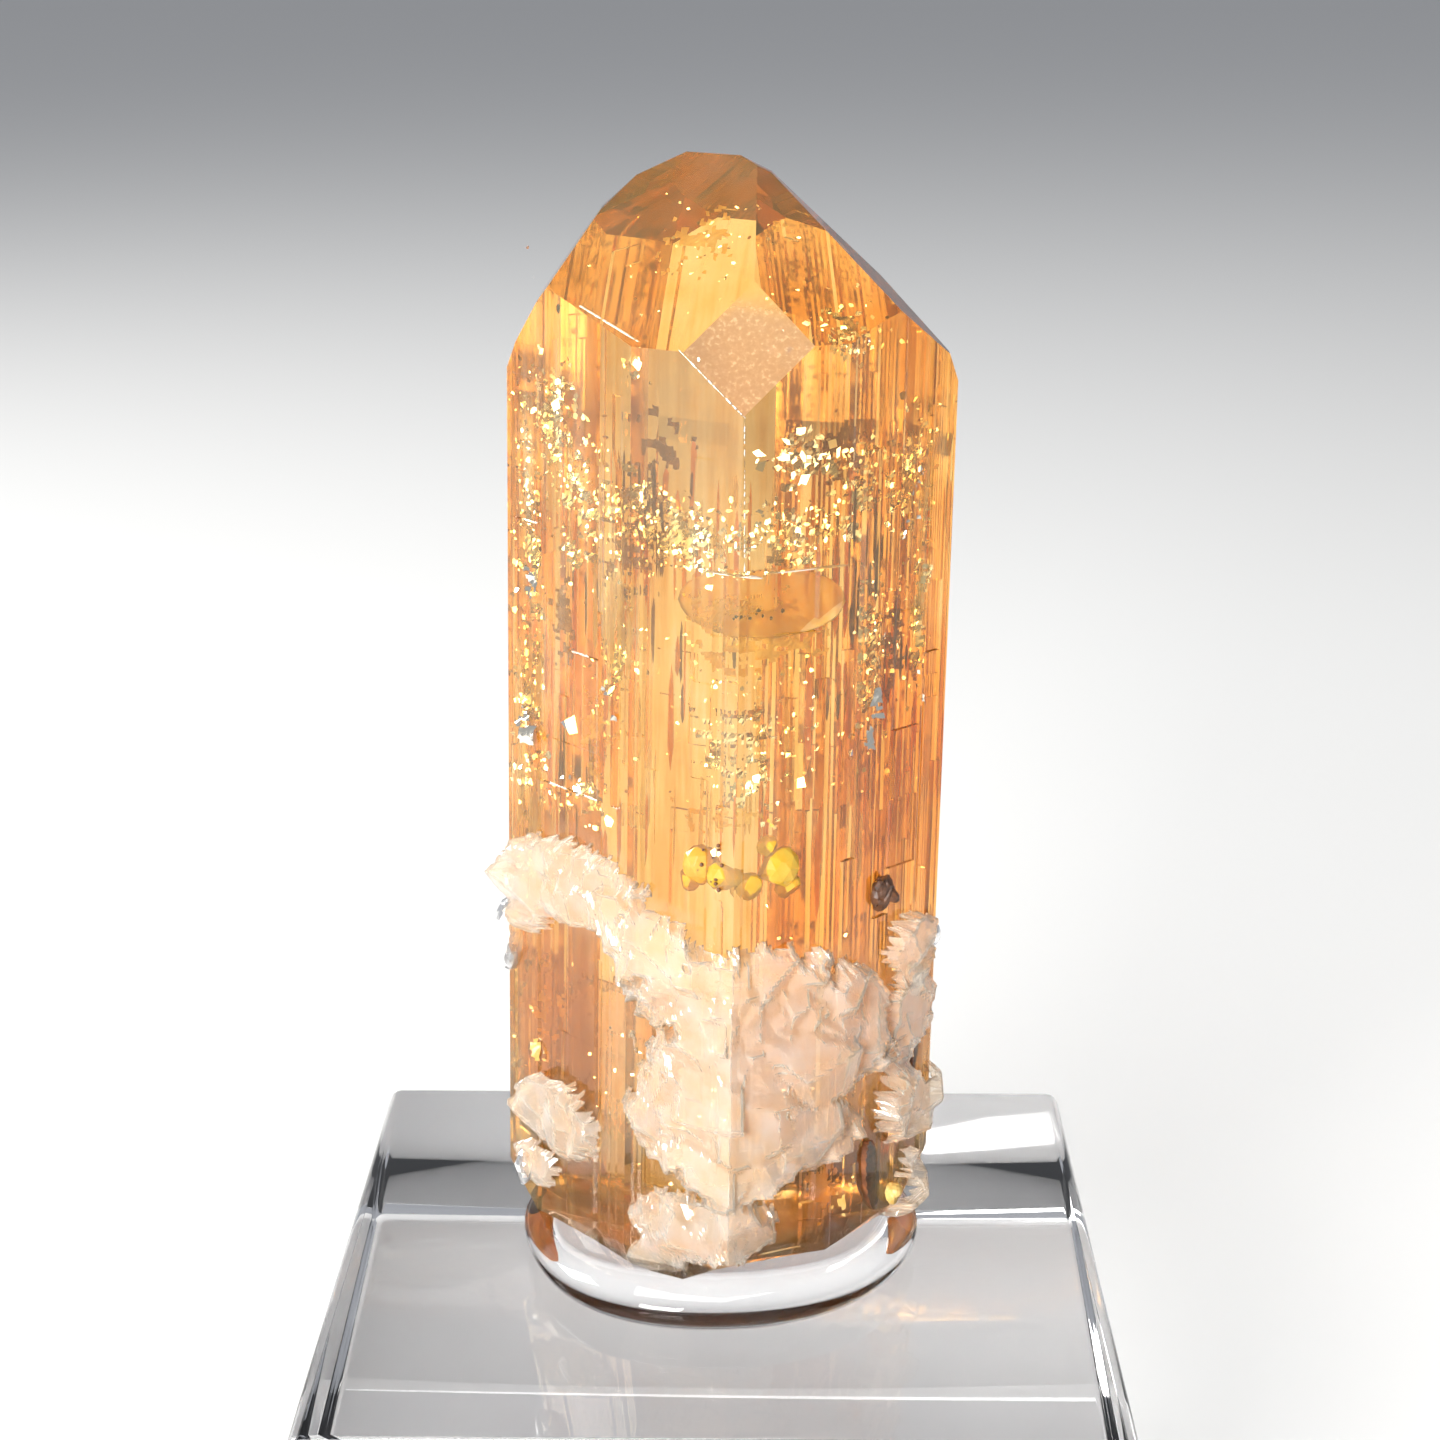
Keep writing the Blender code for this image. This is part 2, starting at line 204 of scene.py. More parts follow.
def section_corners(grow=0.0):
    """Corners of the prism's cross-section, one after each face, about the crystal's axis."""
    planes = []
    for a_index, b_index, distance in PRISM_FACES:
        outward = crystal_direction(a_index, b_index, 0)
        planes.append((outward.x, outward.y, distance + grow))
    corners = []
    for (ax, ay, ad), (bx, by, bd) in zip(planes, planes[1:] + planes[:1]):
        determinant = ax * by - ay * bx
        x = (ad * by - bd * ay) / determinant
        y = (ax * bd - bx * ad) / determinant
        corners.append(Vector((x, y, 0)))
    return corners


def surface_place(turn_deg, height):
    """The place on the crystal's side at this turn from the front, and the direction outwards."""
    turn = math.radians(turn_deg)
    outwards = Vector((math.sin(turn), -math.cos(turn), 0))
    axis = CRYSTAL_AXIS + Vector((0, 0, height))
    reaches = []
    for a_index, b_index, distance in PRISM_FACES:
        reaches.append((distance, crystal_direction(a_index, b_index, 0)))
    for normal, place in FOOT_BREAKS:
        normal = Vector(normal).normalized()
        reaches.append((normal.dot(Vector(place) - axis), normal))
    reach = min(gap / normal.dot(outwards) for gap, normal in reaches if normal.dot(outwards) > 0.05)
    return axis + outwards * reach, outwards


def front_face(x, height):
    """The face at the front of the crystal here: its outward direction and its y."""
    planes = []
    for a_index, b_index, distance in PRISM_FACES:
        outward = crystal_direction(a_index, b_index, 0)
        planes.append((outward, CRYSTAL_AXIS + outward * distance))
    for indices, place in POINT_FACES:
        planes.append((crystal_direction(*indices), Vector(place)))
    found = []
    for outward, place in planes:
        if outward.y < -0.1:
            gap = outward.x * (x - place.x) + outward.z * (height - place.z)
            found.append((place.y - gap / outward.y, outward))
    y, outward = max(found, key=lambda item: item[0])
    return outward, y


def front_place(x, height, depth):
    """A place inside the crystal, this deep behind its front at x."""
    return Vector((x, front_face(x, height)[1] + depth, height))


def inner_direction(direction, outward):
    """How a direction outside the crystal runs on inside it, behind a face."""
    along = (direction - outward * direction.dot(outward)) / TOPAZ_IOR
    return along + outward * math.sqrt(1 - along.length_squared)


def glint_direction(place):
    """Which way a chip inside must face to send the key light to the camera."""
    outward = front_face(place.x, place.z)[0]
    base = place + Vector((0, 0, BLOCK_TOP))
    to_camera = inner_direction((CAMERA_PLACE - base).normalized(), outward)
    to_light = inner_direction((KEY_PLACE - base).normalized(), outward)
    return (to_camera + to_light).normalized()


# Node helpers

def add_node(tree, kind, **settings):
    made = tree.nodes.new(kind)
    for key, value in settings.items():
        if hasattr(made, key):
            setattr(made, key, value)
        else:
            made.inputs[key.replace("_", " ")].default_value = value
    return made


def new_group(name, inputs, outputs):
    """A shader node group with named sockets, and its input and output nodes."""
    tree = bpy.data.node_groups.new(name, "ShaderNodeTree")
    for socket, default in inputs.items():
        kind = "NodeSocketVector" if isinstance(default, tuple) else "NodeSocketFloat"
        made = tree.interface.new_socket(socket, in_out="INPUT", socket_type=kind)
        made.default_value = default
    for socket, kind in outputs.items():
        tree.interface.new_socket(socket, in_out="OUTPUT", socket_type=kind)
    return tree, tree.nodes.new("NodeGroupInput"), tree.nodes.new("NodeGroupOutput")


def place_group(tree, name, **values):
    made = tree.nodes.new("ShaderNodeGroup")
    made.node_tree = bpy.data.node_groups[name]
    for key, value in values.items():
        made.inputs[key.replace("_", " ")].default_value = value
    return made


def zone_group():
    """Mask of a soft ellipsoid: 1 at its middle, fading out past its half sizes, with a ragged edge."""
    tree, start, end = new_group(
        "zone", {"Middle": (0.0, 0.0, 0.0), "Reach": (MM, MM, MM), "Ragged": 0.35, "Soft": 0.4},
        {"Mask": "NodeSocketFloat"})
    links = tree.links
    coordinates = add_node(tree, "ShaderNodeTexCoord")
    away = add_node(tree, "ShaderNodeVectorMath", operation="SUBTRACT")
    links.new(coordinates.outputs["Object"], away.inputs[0])
    links.new(start.outputs["Middle"], away.inputs[1])
    share = add_node(tree, "ShaderNodeVectorMath", operation="DIVIDE")
    links.new(away.outputs[0], share.inputs[0])
    links.new(start.outputs["Reach"], share.inputs[1])
    length = add_node(tree, "ShaderNodeVectorMath", operation="LENGTH")
    links.new(share.outputs[0], length.inputs[0])
    ragged = add_node(tree, "ShaderNodeTexNoise", Scale=900, Detail=4, Roughness=0.65)
    links.new(coordinates.outputs["Object"], ragged.inputs["Vector"])
    shift = add_node(tree, "ShaderNodeMath", operation="MULTIPLY_ADD")
    links.new(ragged.outputs["Fac"], shift.inputs[0])
    links.new(start.outputs["Ragged"], shift.inputs[1])
    links.new(length.outputs["Value"], shift.inputs[2])
    near = add_node(tree, "ShaderNodeMath", operation="SUBTRACT")
    near.inputs[0].default_value = 1.0
    links.new(start.outputs["Soft"], near.inputs[1])
    half = add_node(tree, "ShaderNodeMath", operation="MULTIPLY_ADD")
    half.inputs[1].default_value = 0.5
    links.new(start.outputs["Ragged"], half.inputs[0])
    links.new(near.outputs[0], half.inputs[2])
    outer = add_node(tree, "ShaderNodeMath", operation="MULTIPLY_ADD")
    outer.inputs[1].default_value = 2.0
    links.new(start.outputs["Soft"], outer.inputs[0])
    links.new(half.outputs[0], outer.inputs[2])
    mask = add_node(tree, "ShaderNodeMapRange", interpolation_type="SMOOTHSTEP", To_Min=1, To_Max=0)
    links.new(shift.outputs[0], mask.inputs["Value"])
    links.new(half.outputs[0], mask.inputs["From Min"])
    links.new(outer.outputs[0], mask.inputs["From Max"])
    links.new(mask.outputs["Result"], end.inputs["Mask"])


def growth_streaks_group():
    """Upright streaks that follow the crystal's long axis."""
    tree, start, end = new_group(
        "growth streaks", {"Finest": 0.1 * MM, "Stretch": 0.05},
        {"Streaks": "NodeSocketFloat", "Broad": "NodeSocketFloat", "Height": "NodeSocketFloat"})
    links = tree.links
    coordinates = add_node(tree, "ShaderNodeTexCoord")
    squash = add_node(tree, "ShaderNodeCombineXYZ", X=1, Y=1)
    links.new(start.outputs["Stretch"], squash.inputs["Z"])
    stretched = add_node(tree, "ShaderNodeVectorMath", operation="MULTIPLY")
    links.new(coordinates.outputs["Object"], stretched.inputs[0])
    links.new(squash.outputs[0], stretched.inputs[1])
    scale = add_node(tree, "ShaderNodeMath", operation="DIVIDE")
    scale.inputs[0].default_value = 0.5
    links.new(start.outputs["Finest"], scale.inputs[1])
    fine = add_node(tree, "ShaderNodeTexNoise", Detail=3, Roughness=0.6)
    links.new(stretched.outputs[0], fine.inputs["Vector"])
    links.new(scale.outputs[0], fine.inputs["Scale"])
    broad_scale = add_node(tree, "ShaderNodeMath", operation="MULTIPLY")
    broad_scale.inputs[1].default_value = 0.12
    links.new(scale.outputs[0], broad_scale.inputs[0])
    broad = add_node(tree, "ShaderNodeTexNoise", Detail=3, Roughness=0.55)
    links.new(stretched.outputs[0], broad.inputs["Vector"])
    links.new(broad_scale.outputs[0], broad.inputs["Scale"])
    both = add_node(tree, "ShaderNodeMath", operation="ADD")
    links.new(fine.outputs["Fac"], both.inputs[0])
    links.new(broad.outputs["Fac"], both.inputs[1])
    streaks = add_node(tree, "ShaderNodeMapRange", From_Min=0.8, From_Max=1.2)
    links.new(both.outputs[0], streaks.inputs["Value"])
    links.new(streaks.outputs[0], end.inputs["Streaks"])
    links.new(broad.outputs["Fac"], end.inputs["Broad"])
    links.new(fine.outputs["Fac"], end.inputs["Height"])


def new_material(name, colour):
    made = bpy.data.materials.new(name)
    made.use_nodes = True
    made.diffuse_color = (*colour, 1)
    tree = made.node_tree
    shader = tree.nodes["Principled BSDF"]
    shader.inputs["Base Color"].default_value = (*colour, 1)
    return made, tree, shader


def set_shader(shader, **values):
    for key, value in values.items():
        shader.inputs[key.replace("_", " ")].default_value = value


def ramp(tree, source, *stops):
    """Colour ramp from stops of position and colour."""
    made = add_node(tree, "ShaderNodeValToRGB")
    elements = made.color_ramp.elements
    while len(elements) < len(stops):
        elements.new(0.5)
    for element, (position, colour) in zip(elements, stops):
        element.position = position
        element.color = (*colour, 1)
    tree.links.new(source, made.inputs["Fac"])
    return made.outputs["Color"]


def mix_colour(tree, share, first, second):
    made = add_node(tree, "ShaderNodeMix", data_type="RGBA")
    for value, socket in ((share, made.inputs[0]), (first, made.inputs[6]), (second, made.inputs[7])):
        if isinstance(value, bpy.types.NodeSocket):
            tree.links.new(value, socket)
        elif isinstance(value, tuple):
            socket.default_value = (*value, 1)
        else:
            socket.default_value = value
    return made.outputs[2]


def mix_value(tree, share, first, second):
    made = add_node(tree, "ShaderNodeMix", data_type="FLOAT")
    for value, socket in ((share, made.inputs[0]), (first, made.inputs[2]), (second, made.inputs[3])):
        if isinstance(value, bpy.types.NodeSocket):
            tree.links.new(value, socket)
        else:
            socket.default_value = value
    return made.outputs[0]


def zone_mask(tree, middle, reach, ragged=0.35, soft=0.4):
    """Mask socket for a zone of the crystal, its height counted from the block's top."""
    made = place_group(tree, "zone", Ragged=ragged, Soft=soft)
    made.inputs["Middle"].default_value = (middle[0], middle[1], middle[2] + BLOCK_TOP)
    made.inputs["Reach"].default_value = reach
    return made.outputs["Mask"]


def strongest(tree, masks):
    """The largest of several masks."""
    found = masks[0]
    for mask in masks[1:]:
        made = add_node(tree, "ShaderNodeMath", operation="MAXIMUM")
        tree.links.new(found, made.inputs[0])
        tree.links.new(mask, made.inputs[1])
        found = made.outputs[0]
    return found


def noise_node(tree, scale, detail=4, rough=0.6, output="Fac"):
    coordinates = add_node(tree, "ShaderNodeTexCoord")
    made = add_node(tree, "ShaderNodeTexNoise", Scale=scale, Detail=detail, Roughness=rough)
    tree.links.new(coordinates.outputs["Object"], made.inputs["Vector"])
    return made.outputs[output]


def add_bump(tree, shader, height, strength, distance, strength_mask=None):
    bump = add_node(tree, "ShaderNodeBump", Strength=strength, Distance=distance)
    tree.links.new(height, bump.inputs["Height"])
    if strength_mask is not None:
        tree.links.new(strength_mask, bump.inputs["Strength"])
    tree.links.new(bump.outputs["Normal"], shader.inputs["Normal"])
    return bump


def topaz_material(settings):
    """Clear golden crystal with upright streaks, clouds, zones of colour, painted shade in the upper front windows,
    frost with painted sparkle, and crusted parts.
    """
    made, tree, shader = new_material("topaz", settings.body_colour)
    links = tree.links
    streaks = place_group(tree, "growth streaks", Finest=0.35 * MM, Stretch=0.1)
    clouds = noise_node(tree, 330, 3, 0.55)
    both = add_node(tree, "ShaderNodeMath", operation="ADD")
    links.new(streaks.outputs["Streaks"], both.inputs[0])
    links.new(clouds, both.inputs[1])
    share = add_node(tree, "ShaderNodeMath", operation="MULTIPLY")
    share.inputs[1].default_value = 0.5
    links.new(both.outputs[0], share.inputs[0])
    colour = ramp(tree, share.outputs[0],
                  (0.3, (0.78, 0.44, 0.10)), (0.5, (0.95, 0.66, 0.22)), (0.68, (1.0, 0.86, 0.48)))
    # Colour zones; two of them paint darker olive shade into the upper front windows
    for middle, reach, tone in COLOUR_AND_PAINTED_SHADE_ZONES:
        mask = zone_mask(tree, middle, reach, 0.5, 0.7)
        toned = ramp(tree, share.outputs[0], (0.3, tuple(0.85 * part for part in tone)), (0.65, tone))
        colour = mix_colour(tree, mask, colour, toned)
    point = add_node(tree, "ShaderNodeAttribute", attribute_name="point_face").outputs["Fac"]
    point_colour = ramp(tree, clouds, (0.35, (0.93, 0.62, 0.17)), (0.65, (1.0, 0.80, 0.36)))
    colour = mix_colour(tree, point, colour, point_colour)
    crusted = strongest(tree, [zone_mask(tree, middle, reach, 0.9, 0.35) for middle, reach in CRUST_ZONES])
    grain = noise_node(tree, 1800, 3, 0.7)
    crust_colour = ramp(tree, grain, (0.3, (0.96, 0.66, 0.38)), (0.6, (1.0, 0.86, 0.66)))
    colour = mix_colour(tree, crusted, colour, crust_colour)
    frost = add_node(tree, "ShaderNodeAttribute", attribute_name="frost").outputs["Fac"]
    frost = mix_value(tree, zone_mask(tree, *FROST_ZONE, 0.3, 0.25), 0.0, frost)
    # Frost colour: grey-lavender, with white specks painted as the sparkle of frosted facets catching the light
    frost_with_painted_sparkle = ramp(tree, noise_node(tree, 6000, 2, 0.5),
                   (0.4, (0.56, 0.43, 0.36)), (0.58, (0.66, 0.53, 0.46)), (0.7, (1.0, 0.95, 0.9)))
    colour = mix_colour(tree, frost, colour, frost_with_painted_sparkle)
    links.new(colour, shader.inputs["Base Color"])
    rough = mix_value(tree, point, 0.05, 0.015)
    rough = mix_value(tree, crusted, rough, 0.3)
    rough = mix_value(tree, frost, rough, 0.38)
    links.new(rough, shader.inputs["Roughness"])
    uneven = strongest(tree, [crusted, frost])
    rise = mix_value(tree, uneven, streaks.outputs["Height"], grain)
    smooth = mix_value(tree, point, 0.12, 0.02)
    add_bump(tree, shader, rise, 0.25, 0.02 * MM, mix_value(tree, uneven, smooth, 0.9))
    set_shader(shader, IOR=TOPAZ_IOR, Transmission_Weight=settings.clearness)
    inside = add_node(tree, "ShaderNodeVolumeAbsorption", Density=settings.depth_of_colour)
    inside.inputs["Color"].default_value = (*settings.body_colour, 1)
    links.new(inside.outputs["Volume"], tree.nodes["Material Output"].inputs["Volume"])
    return made


def glassy_material(name, colour, ior, rough, clearness=1.0, mottle=None, bump=0.0, scale=1500):
    """Clear or cloudy glassy material, mottled towards a second colour."""
    made, tree, shader = new_material(name, colour)
    set_shader(shader, Roughness=rough, IOR=ior, Transmission_Weight=clearness)
    grain = noise_node(tree, scale, 4, 0.6)
    if mottle is not None:
        tree.links.new(ramp(tree, grain, (0.35, colour), (0.65, mottle)), shader.inputs["Base Color"])
    if bump:
        add_bump(tree, shader, grain, bump, 0.03 * MM)
    return made


def mineral_material(name, dark, light, rough, scale, metallic=0.0):
    """Opaque mineral with a mottled colour and a broken surface."""
    made, tree, shader = new_material(name, light)
    set_shader(shader, Roughness=rough, Metallic=metallic)
    grain = noise_node(tree, scale, 5, 0.65)
    tree.links.new(ramp(tree, grain, (0.35, dark), (0.65, light)), shader.inputs["Base Color"])
    add_bump(tree, shader, grain, 0.8, 0.05 * MM)
    return made


# The crystal

def face_columns(pitch):
    """For each column of the prism: its prism face, its share along that face, and the face's count."""
    corners = section_corners()
    columns = []
    for index in range(len(PRISM_FACES)):
        length = (corners[index] - corners[index - 1]).length
        count = round(length / pitch)
        columns += [(index, place / count, place, count) for place in range(count)]
    return columns


def band_heights(settings):
    """Pairs of rows, so that a ledge ends in a crisp step."""
    bottom, top = CRYSTAL_FOOT, POINT_HEIGHT + 1 * MM
    count = round((top - bottom) / settings.band_height)
    step = 0.05 * MM
    rows = []
    for band in range(count):
        foot = bottom + (top - bottom) * band / count
        head = bottom + (top - bottom) * (band + 1) / count
        rows += [foot + (step if band else 0), head]
    return rows, count


def ridge_depths(columns, bands, settings, chance):
    """How far each column is sunk in each band of the prism."""
    depths = np.zeros((bands, len(columns)))
    starts = [number for number, column in enumerate(columns) if column[2] == 0]
    for start, number in zip(starts, range(len(PRISM_FACES))):
        count = columns[start][3]
        place = 3
        while place < count - 3:
            width = min(chance.choice((2, 3, 4, 5, 6, 8, 10, 12)), count - 3 - place)
            sink = chance.uniform(0, 1) ** 1.5
            slope = chance.uniform(-0.35, 0.35)
            grain = chance.uniform(0, 0.12) if chance.random() < 0.3 else 0
            for band in range(bands):
                if chance.random() < 0.1:
                    sink = chance.uniform(0, 1) ** 1.5
                    slope = chance.uniform(-0.35, 0.35)
                for column in range(width):
                    shift = slope * (column / max(width - 1, 1) - 0.5)
                    fine = grain * ((column + place) % 2)
                    depths[band, start + place + column] = max(0, sink + shift) + fine
            place += width
    return depths * settings.ledge_depth


def smooth_share(face, height):
    """How much of the ledge depth a face has at this height: its clear windows are nearly flat."""
    if face in FRONT_FACES and height > 31.5 * MM:
        return 0.06
    if height > 35 * MM:
        return 0.4
    return 1.0


def striated_prism(settings):
    """The upright prism with its ridges and ledges, as a cylinder whose rings are set in place."""
    chance = random.Random(7)
    columns = face_columns(settings.ridge_pitch)
    heights, bands = band_heights(settings)
    depths = ridge_depths(columns, bands, settings, chance)
    corners = section_corners()
    bpy.ops.object.select_all(action="DESELECT")
    bpy.ops.mesh.primitive_cylinder_add(vertices=len(columns), radius=1, depth=1, end_fill_type="NGON")
    obj = bpy.context.object
    bpy.ops.object.mode_set(mode="EDIT")
    bpy.ops.mesh.select_all(action="DESELECT")
    bm = bmesh.from_edit_mesh(obj.data)
    for edge in bm.edges:
        edge.select_set(abs(edge.verts[0].co.z - edge.verts[1].co.z) > 0.5)
    bmesh.update_edit_mesh(obj.data)
    bpy.ops.mesh.subdivide(number_cuts=len(heights) - 2)
    bpy.ops.object.mode_set(mode="OBJECT")
    ring = get_places(obj)
    turn = np.arctan2(-ring[:, 0], ring[:, 1]) / math.tau
    column_of = np.round(turn * len(columns)).astype(int) % len(columns)
    row_of = np.round((ring[:, 2] + 0.5) * (len(heights) - 1)).astype(int)
    places = np.empty_like(ring)
    for number, (column, row) in enumerate(zip(column_of, row_of)):
        face, share, place, count = columns[column]
        outward = crystal_direction(*PRISM_FACES[face][:2], 0)
        sunk = depths[row // 2, column] * smooth_share(face, heights[row])
        at = corners[face - 1].lerp(corners[face], share) - outward * sunk + CRYSTAL_AXIS
        places[number] = (at.x, at.y, heights[row])
    set_places(obj, places)
    return obj


def bisect_off(place, outward):
    """Cuts away what lies beyond a plane from the mesh in edit mode, and fills the cut."""
    bpy.ops.mesh.select_all(action="SELECT")
    bpy.ops.mesh.bisect(plane_co=place, plane_no=outward, use_fill=True, clear_outer=True, threshold=1e-7)


def cut_to_shape(obj):
    """Gives the prism its point and its broken foot."""
    select_only(obj)
    bpy.ops.object.mode_set(mode="EDIT")
    for indices, place in POINT_FACES:
        bisect_off(place, crystal_direction(*indices))
    for outward, place in FOOT_BREAKS:
        bisect_off(place, Vector(outward).normalized())
    bpy.ops.object.mode_set(mode="OBJECT")


def chipped_ball(chance, facets=2, cuts=7, flat=0.6):
    """A ball with flats cut on it, in edit mode's own way: a small rough crystal."""
    bpy.ops.object.select_all(action="DESELECT")
    bpy.ops.mesh.primitive_ico_sphere_add(subdivisions=facets, radius=1)
    obj = bpy.context.object
    bpy.ops.object.mode_set(mode="EDIT")
    for _ in range(cuts):
        outward = Vector([chance.gauss(0, 1) for _ in range(3)]).normalized()
        bisect_off(outward * chance.uniform(flat, flat + 0.3), outward)
    bpy.ops.object.mode_set(mode="OBJECT")
    return obj


def side_matrix(turn_deg, height, tilt_deg):
    """Where a small crystal sits on the side: its Y points outwards and its Z up, but for the tilt."""
    place, outwards = surface_place(turn_deg, height)
    across = Vector((-outwards.y, outwards.x, 0))
    facing_out = Matrix((across, outwards, Vector((0, 0, 1)))).transposed().to_4x4()
    return (stand_up_matrix() @ Matrix.Translation(place) @ facing_out
            @ Matrix.Rotation(math.radians(tilt_deg), 4, "Y"))


def hollow_out(obj, hollows, grow, chance):
    """Cuts pits into the crystal, each a chipped ball at a turn and height with its half sizes."""
    for turn, height, half_sizes, tilt in hollows:
        cutter = chipped_ball(chance, 2, 5, 0.8)
        sizes = [half + grow for half in half_sizes]
        cutter.data.transform(side_matrix(turn, height, tilt) @ sizing(*sizes))
        select_only(obj)
        cut = obj.modifiers.new("hollow", "BOOLEAN")
        cut.operation = "DIFFERENCE"
        cut.solver = "EXACT"
        cut.object = cutter
        bpy.ops.object.modifier_apply(modifier=cut.name)
        bpy.data.objects.remove(cutter, do_unlink=True)


def set_shares(obj, name, shares):
    """Stores a mask with one value for each face."""
    made = obj.data.attributes.new(name, "FLOAT", "FACE")
    made.data.foreach_set("value", [float(share) for share in shares])


class SPECIMEN_OT_topaz_crystal(bpy.types.Operator):
    """Build the clear golden crystal with its ridges, point, foot, chips and cavities"""

    bl_idname = "specimen.topaz_crystal"
    bl_label = "Topaz Crystal"

    def execute(self, context):
        settings = context.scene.specimen_crystal
        obj = striated_prism(settings)
        cut_to_shape(obj)
        obj.data.transform(stand_up_matrix())
        name_piece(obj, "golden_topaz")
        hollow_out(obj, PITS, 0, random.Random(5))
        hollow_out(obj, [DARK_GRAIN, GOLD_GRAIN], 0.12 * MM, random.Random(6))
        obj.data.materials.append(topaz_material(settings))
        frosted = Matrix.Rotation(LEAN, 3, "Y") @ crystal_direction(*FROSTED_FACE)
        set_shares(obj, "frost", [face.normal.dot(frosted) > 0.9995 for face in obj.data.polygons])
        top = BLOCK_TOP + 37 * MM
        set_shares(obj, "point_face", [face.normal.z > 0.15 and face.center.z > top for face in obj.data.polygons])
        for face in obj.data.polygons:
            face.use_smooth = False
        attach(obj, "root")
        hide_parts("topaz_crystal")
        return {"FINISHED"}


# Crust, knobs and what lies inside

# Zones of colour on and under the crystal's surface, two of them painted shade in the upper front windows: middle, half
# sizes, colour
COLOUR_AND_PAINTED_SHADE_ZONES = [
    ((7.5 * MM, -1.5 * MM, 22.0 * MM), (3.6 * MM, 4 * MM, 5.5 * MM), (0.93, 0.44, 0.07)),
    ((-6.6 * MM, -1.5 * MM, 10.5 * MM), (2.2 * MM, 3 * MM, 4.5 * MM), (0.90, 0.44, 0.10)),
    ((3.6 * MM, -5.0 * MM, 17.0 * MM), (2.0 * MM, 2 * MM, 2.8 * MM), (0.96, 0.50, 0.08)),
    ((4.4 * MM, -4.5 * MM, 4.6 * MM), (2.2 * MM, 2.5 * MM, 2.6 * MM), (0.82, 0.40, 0.10)),
    ((-3.8 * MM, -4.0 * MM, 4.2 * MM), (1.8 * MM, 2.0 * MM, 2.4 * MM), (0.84, 0.42, 0.11)),
    # The next two zones are painted shade: darker olive where the clear windows look through to a dark backdrop
    ((-1.6 * MM, -5.6 * MM, 36.2 * MM), (2.2 * MM, 2.5 * MM, 3.4 * MM), (0.66, 0.50, 0.24)),
    ((2.6 * MM, -5.8 * MM, 35.6 * MM), (1.9 * MM, 2.5 * MM, 2.2 * MM), (0.64, 0.50, 0.26)),
    ((2.0 * MM, -5.6 * MM, 28.6 * MM), (3.0 * MM, 2.5 * MM, 2.0 * MM), (1.0, 0.72, 0.20)),
    ((-4.2 * MM, -3.6 * MM, 23.5 * MM), (2.0 * MM, 2.5 * MM, 5.0 * MM), (0.98, 0.64, 0.17)),
]

# Where the frosted face is dull: middle, half sizes
FROST_ZONE = ((1.2 * MM, -6.0 * MM, 38.0 * MM), (3.6 * MM, 4 * MM, 3.0 * MM))

# Parts of the surface that the crust has dulled: middle, half sizes
CRUST_ZONES = [
    ((-5.0 * MM, -2.6 * MM, 17.2 * MM), (3.4 * MM, 3 * MM, 2.0 * MM)),
    ((-2.3 * MM, -5.0 * MM, 15.6 * MM), (2.2 * MM, 3 * MM, 1.7 * MM)),
    ((2.2 * MM, -5.6 * MM, 12.4 * MM), (5.0 * MM, 4 * MM, 3.0 * MM)),
    ((0.6 * MM, -6.0 * MM, 8.6 * MM), (3.4 * MM, 3 * MM, 3.4 * MM)),
    ((-6.0 * MM, -1.8 * MM, 6.4 * MM), (1.8 * MM, 3 * MM, 1.8 * MM)),
    ((8.0 * MM, -1.5 * MM, 10.2 * MM), (1.4 * MM, 2 * MM, 5.2 * MM)),
    ((-0.4 * MM, -5.0 * MM, 3.8 * MM), (2.8 * MM, 3 * MM, 1.6 * MM)),
    ((0.5 * MM, 5.5 * MM, 8.0 * MM), (6.0 * MM, 3 * MM, 4.0 * MM)),
]

# Patches of crust: turn from the front, height, half spread of each
CRUST_PATCHES = [
    (-61, 17.1 * MM, 34, 1.8 * MM),
    (-83, 16.4 * MM, 10, 2.1 * MM),
    (-27, 15.6 * MM, 23, 1.5 * MM),
    (7, 14.0 * MM, 41, 2.1 * MM),
    (20, 11.2 * MM, 50, 2.6 * MM),
    (-4, 8.7 * MM, 31, 2.6 * MM),
    (7, 6.8 * MM, 22, 1.5 * MM),
    (-71, 6.6 * MM, 19, 1.8 * MM),
    (76, 14.4 * MM, 9, 1.6 * MM),
    (76, 11.6 * MM, 11, 2.5 * MM),
    (77, 7.6 * MM, 13, 1.9 * MM),
    (49, 12.2 * MM, 16, 2.6 * MM),
    (-5, 4.0 * MM, 30, 1.5 * MM),
    (-21, 2.2 * MM, 13, 0.9 * MM),
    (80, 3.5 * MM, 5, 1.9 * MM),
    (-83, 3.9 * MM, 9, 1.0 * MM),
    (31, 7.9 * MM, 24, 1.8 * MM),
    (115, 6.0 * MM, 24, 2.8 * MM),
    (185, 7.5 * MM, 38, 3.4 * MM),
    (-118, 9.0 * MM, 22, 3.2 * MM),
]

# Single clear crystals: turn, height, half sizes across, outwards and up, tilt
KNOBS = [
    (-93, 13.7 * MM, (0.8 * MM, 0.75 * MM, 1.7 * MM), 8),
    (88, 14.4 * MM, (0.45 * MM, 0.4 * MM, 0.55 * MM), 0),
    (80, 12.9 * MM, (0.55 * MM, 0.4 * MM, 0.85 * MM), -12),
    (-88, 3.6 * MM, (0.9 * MM, 0.6 * MM, 0.9 * MM), 0),
]

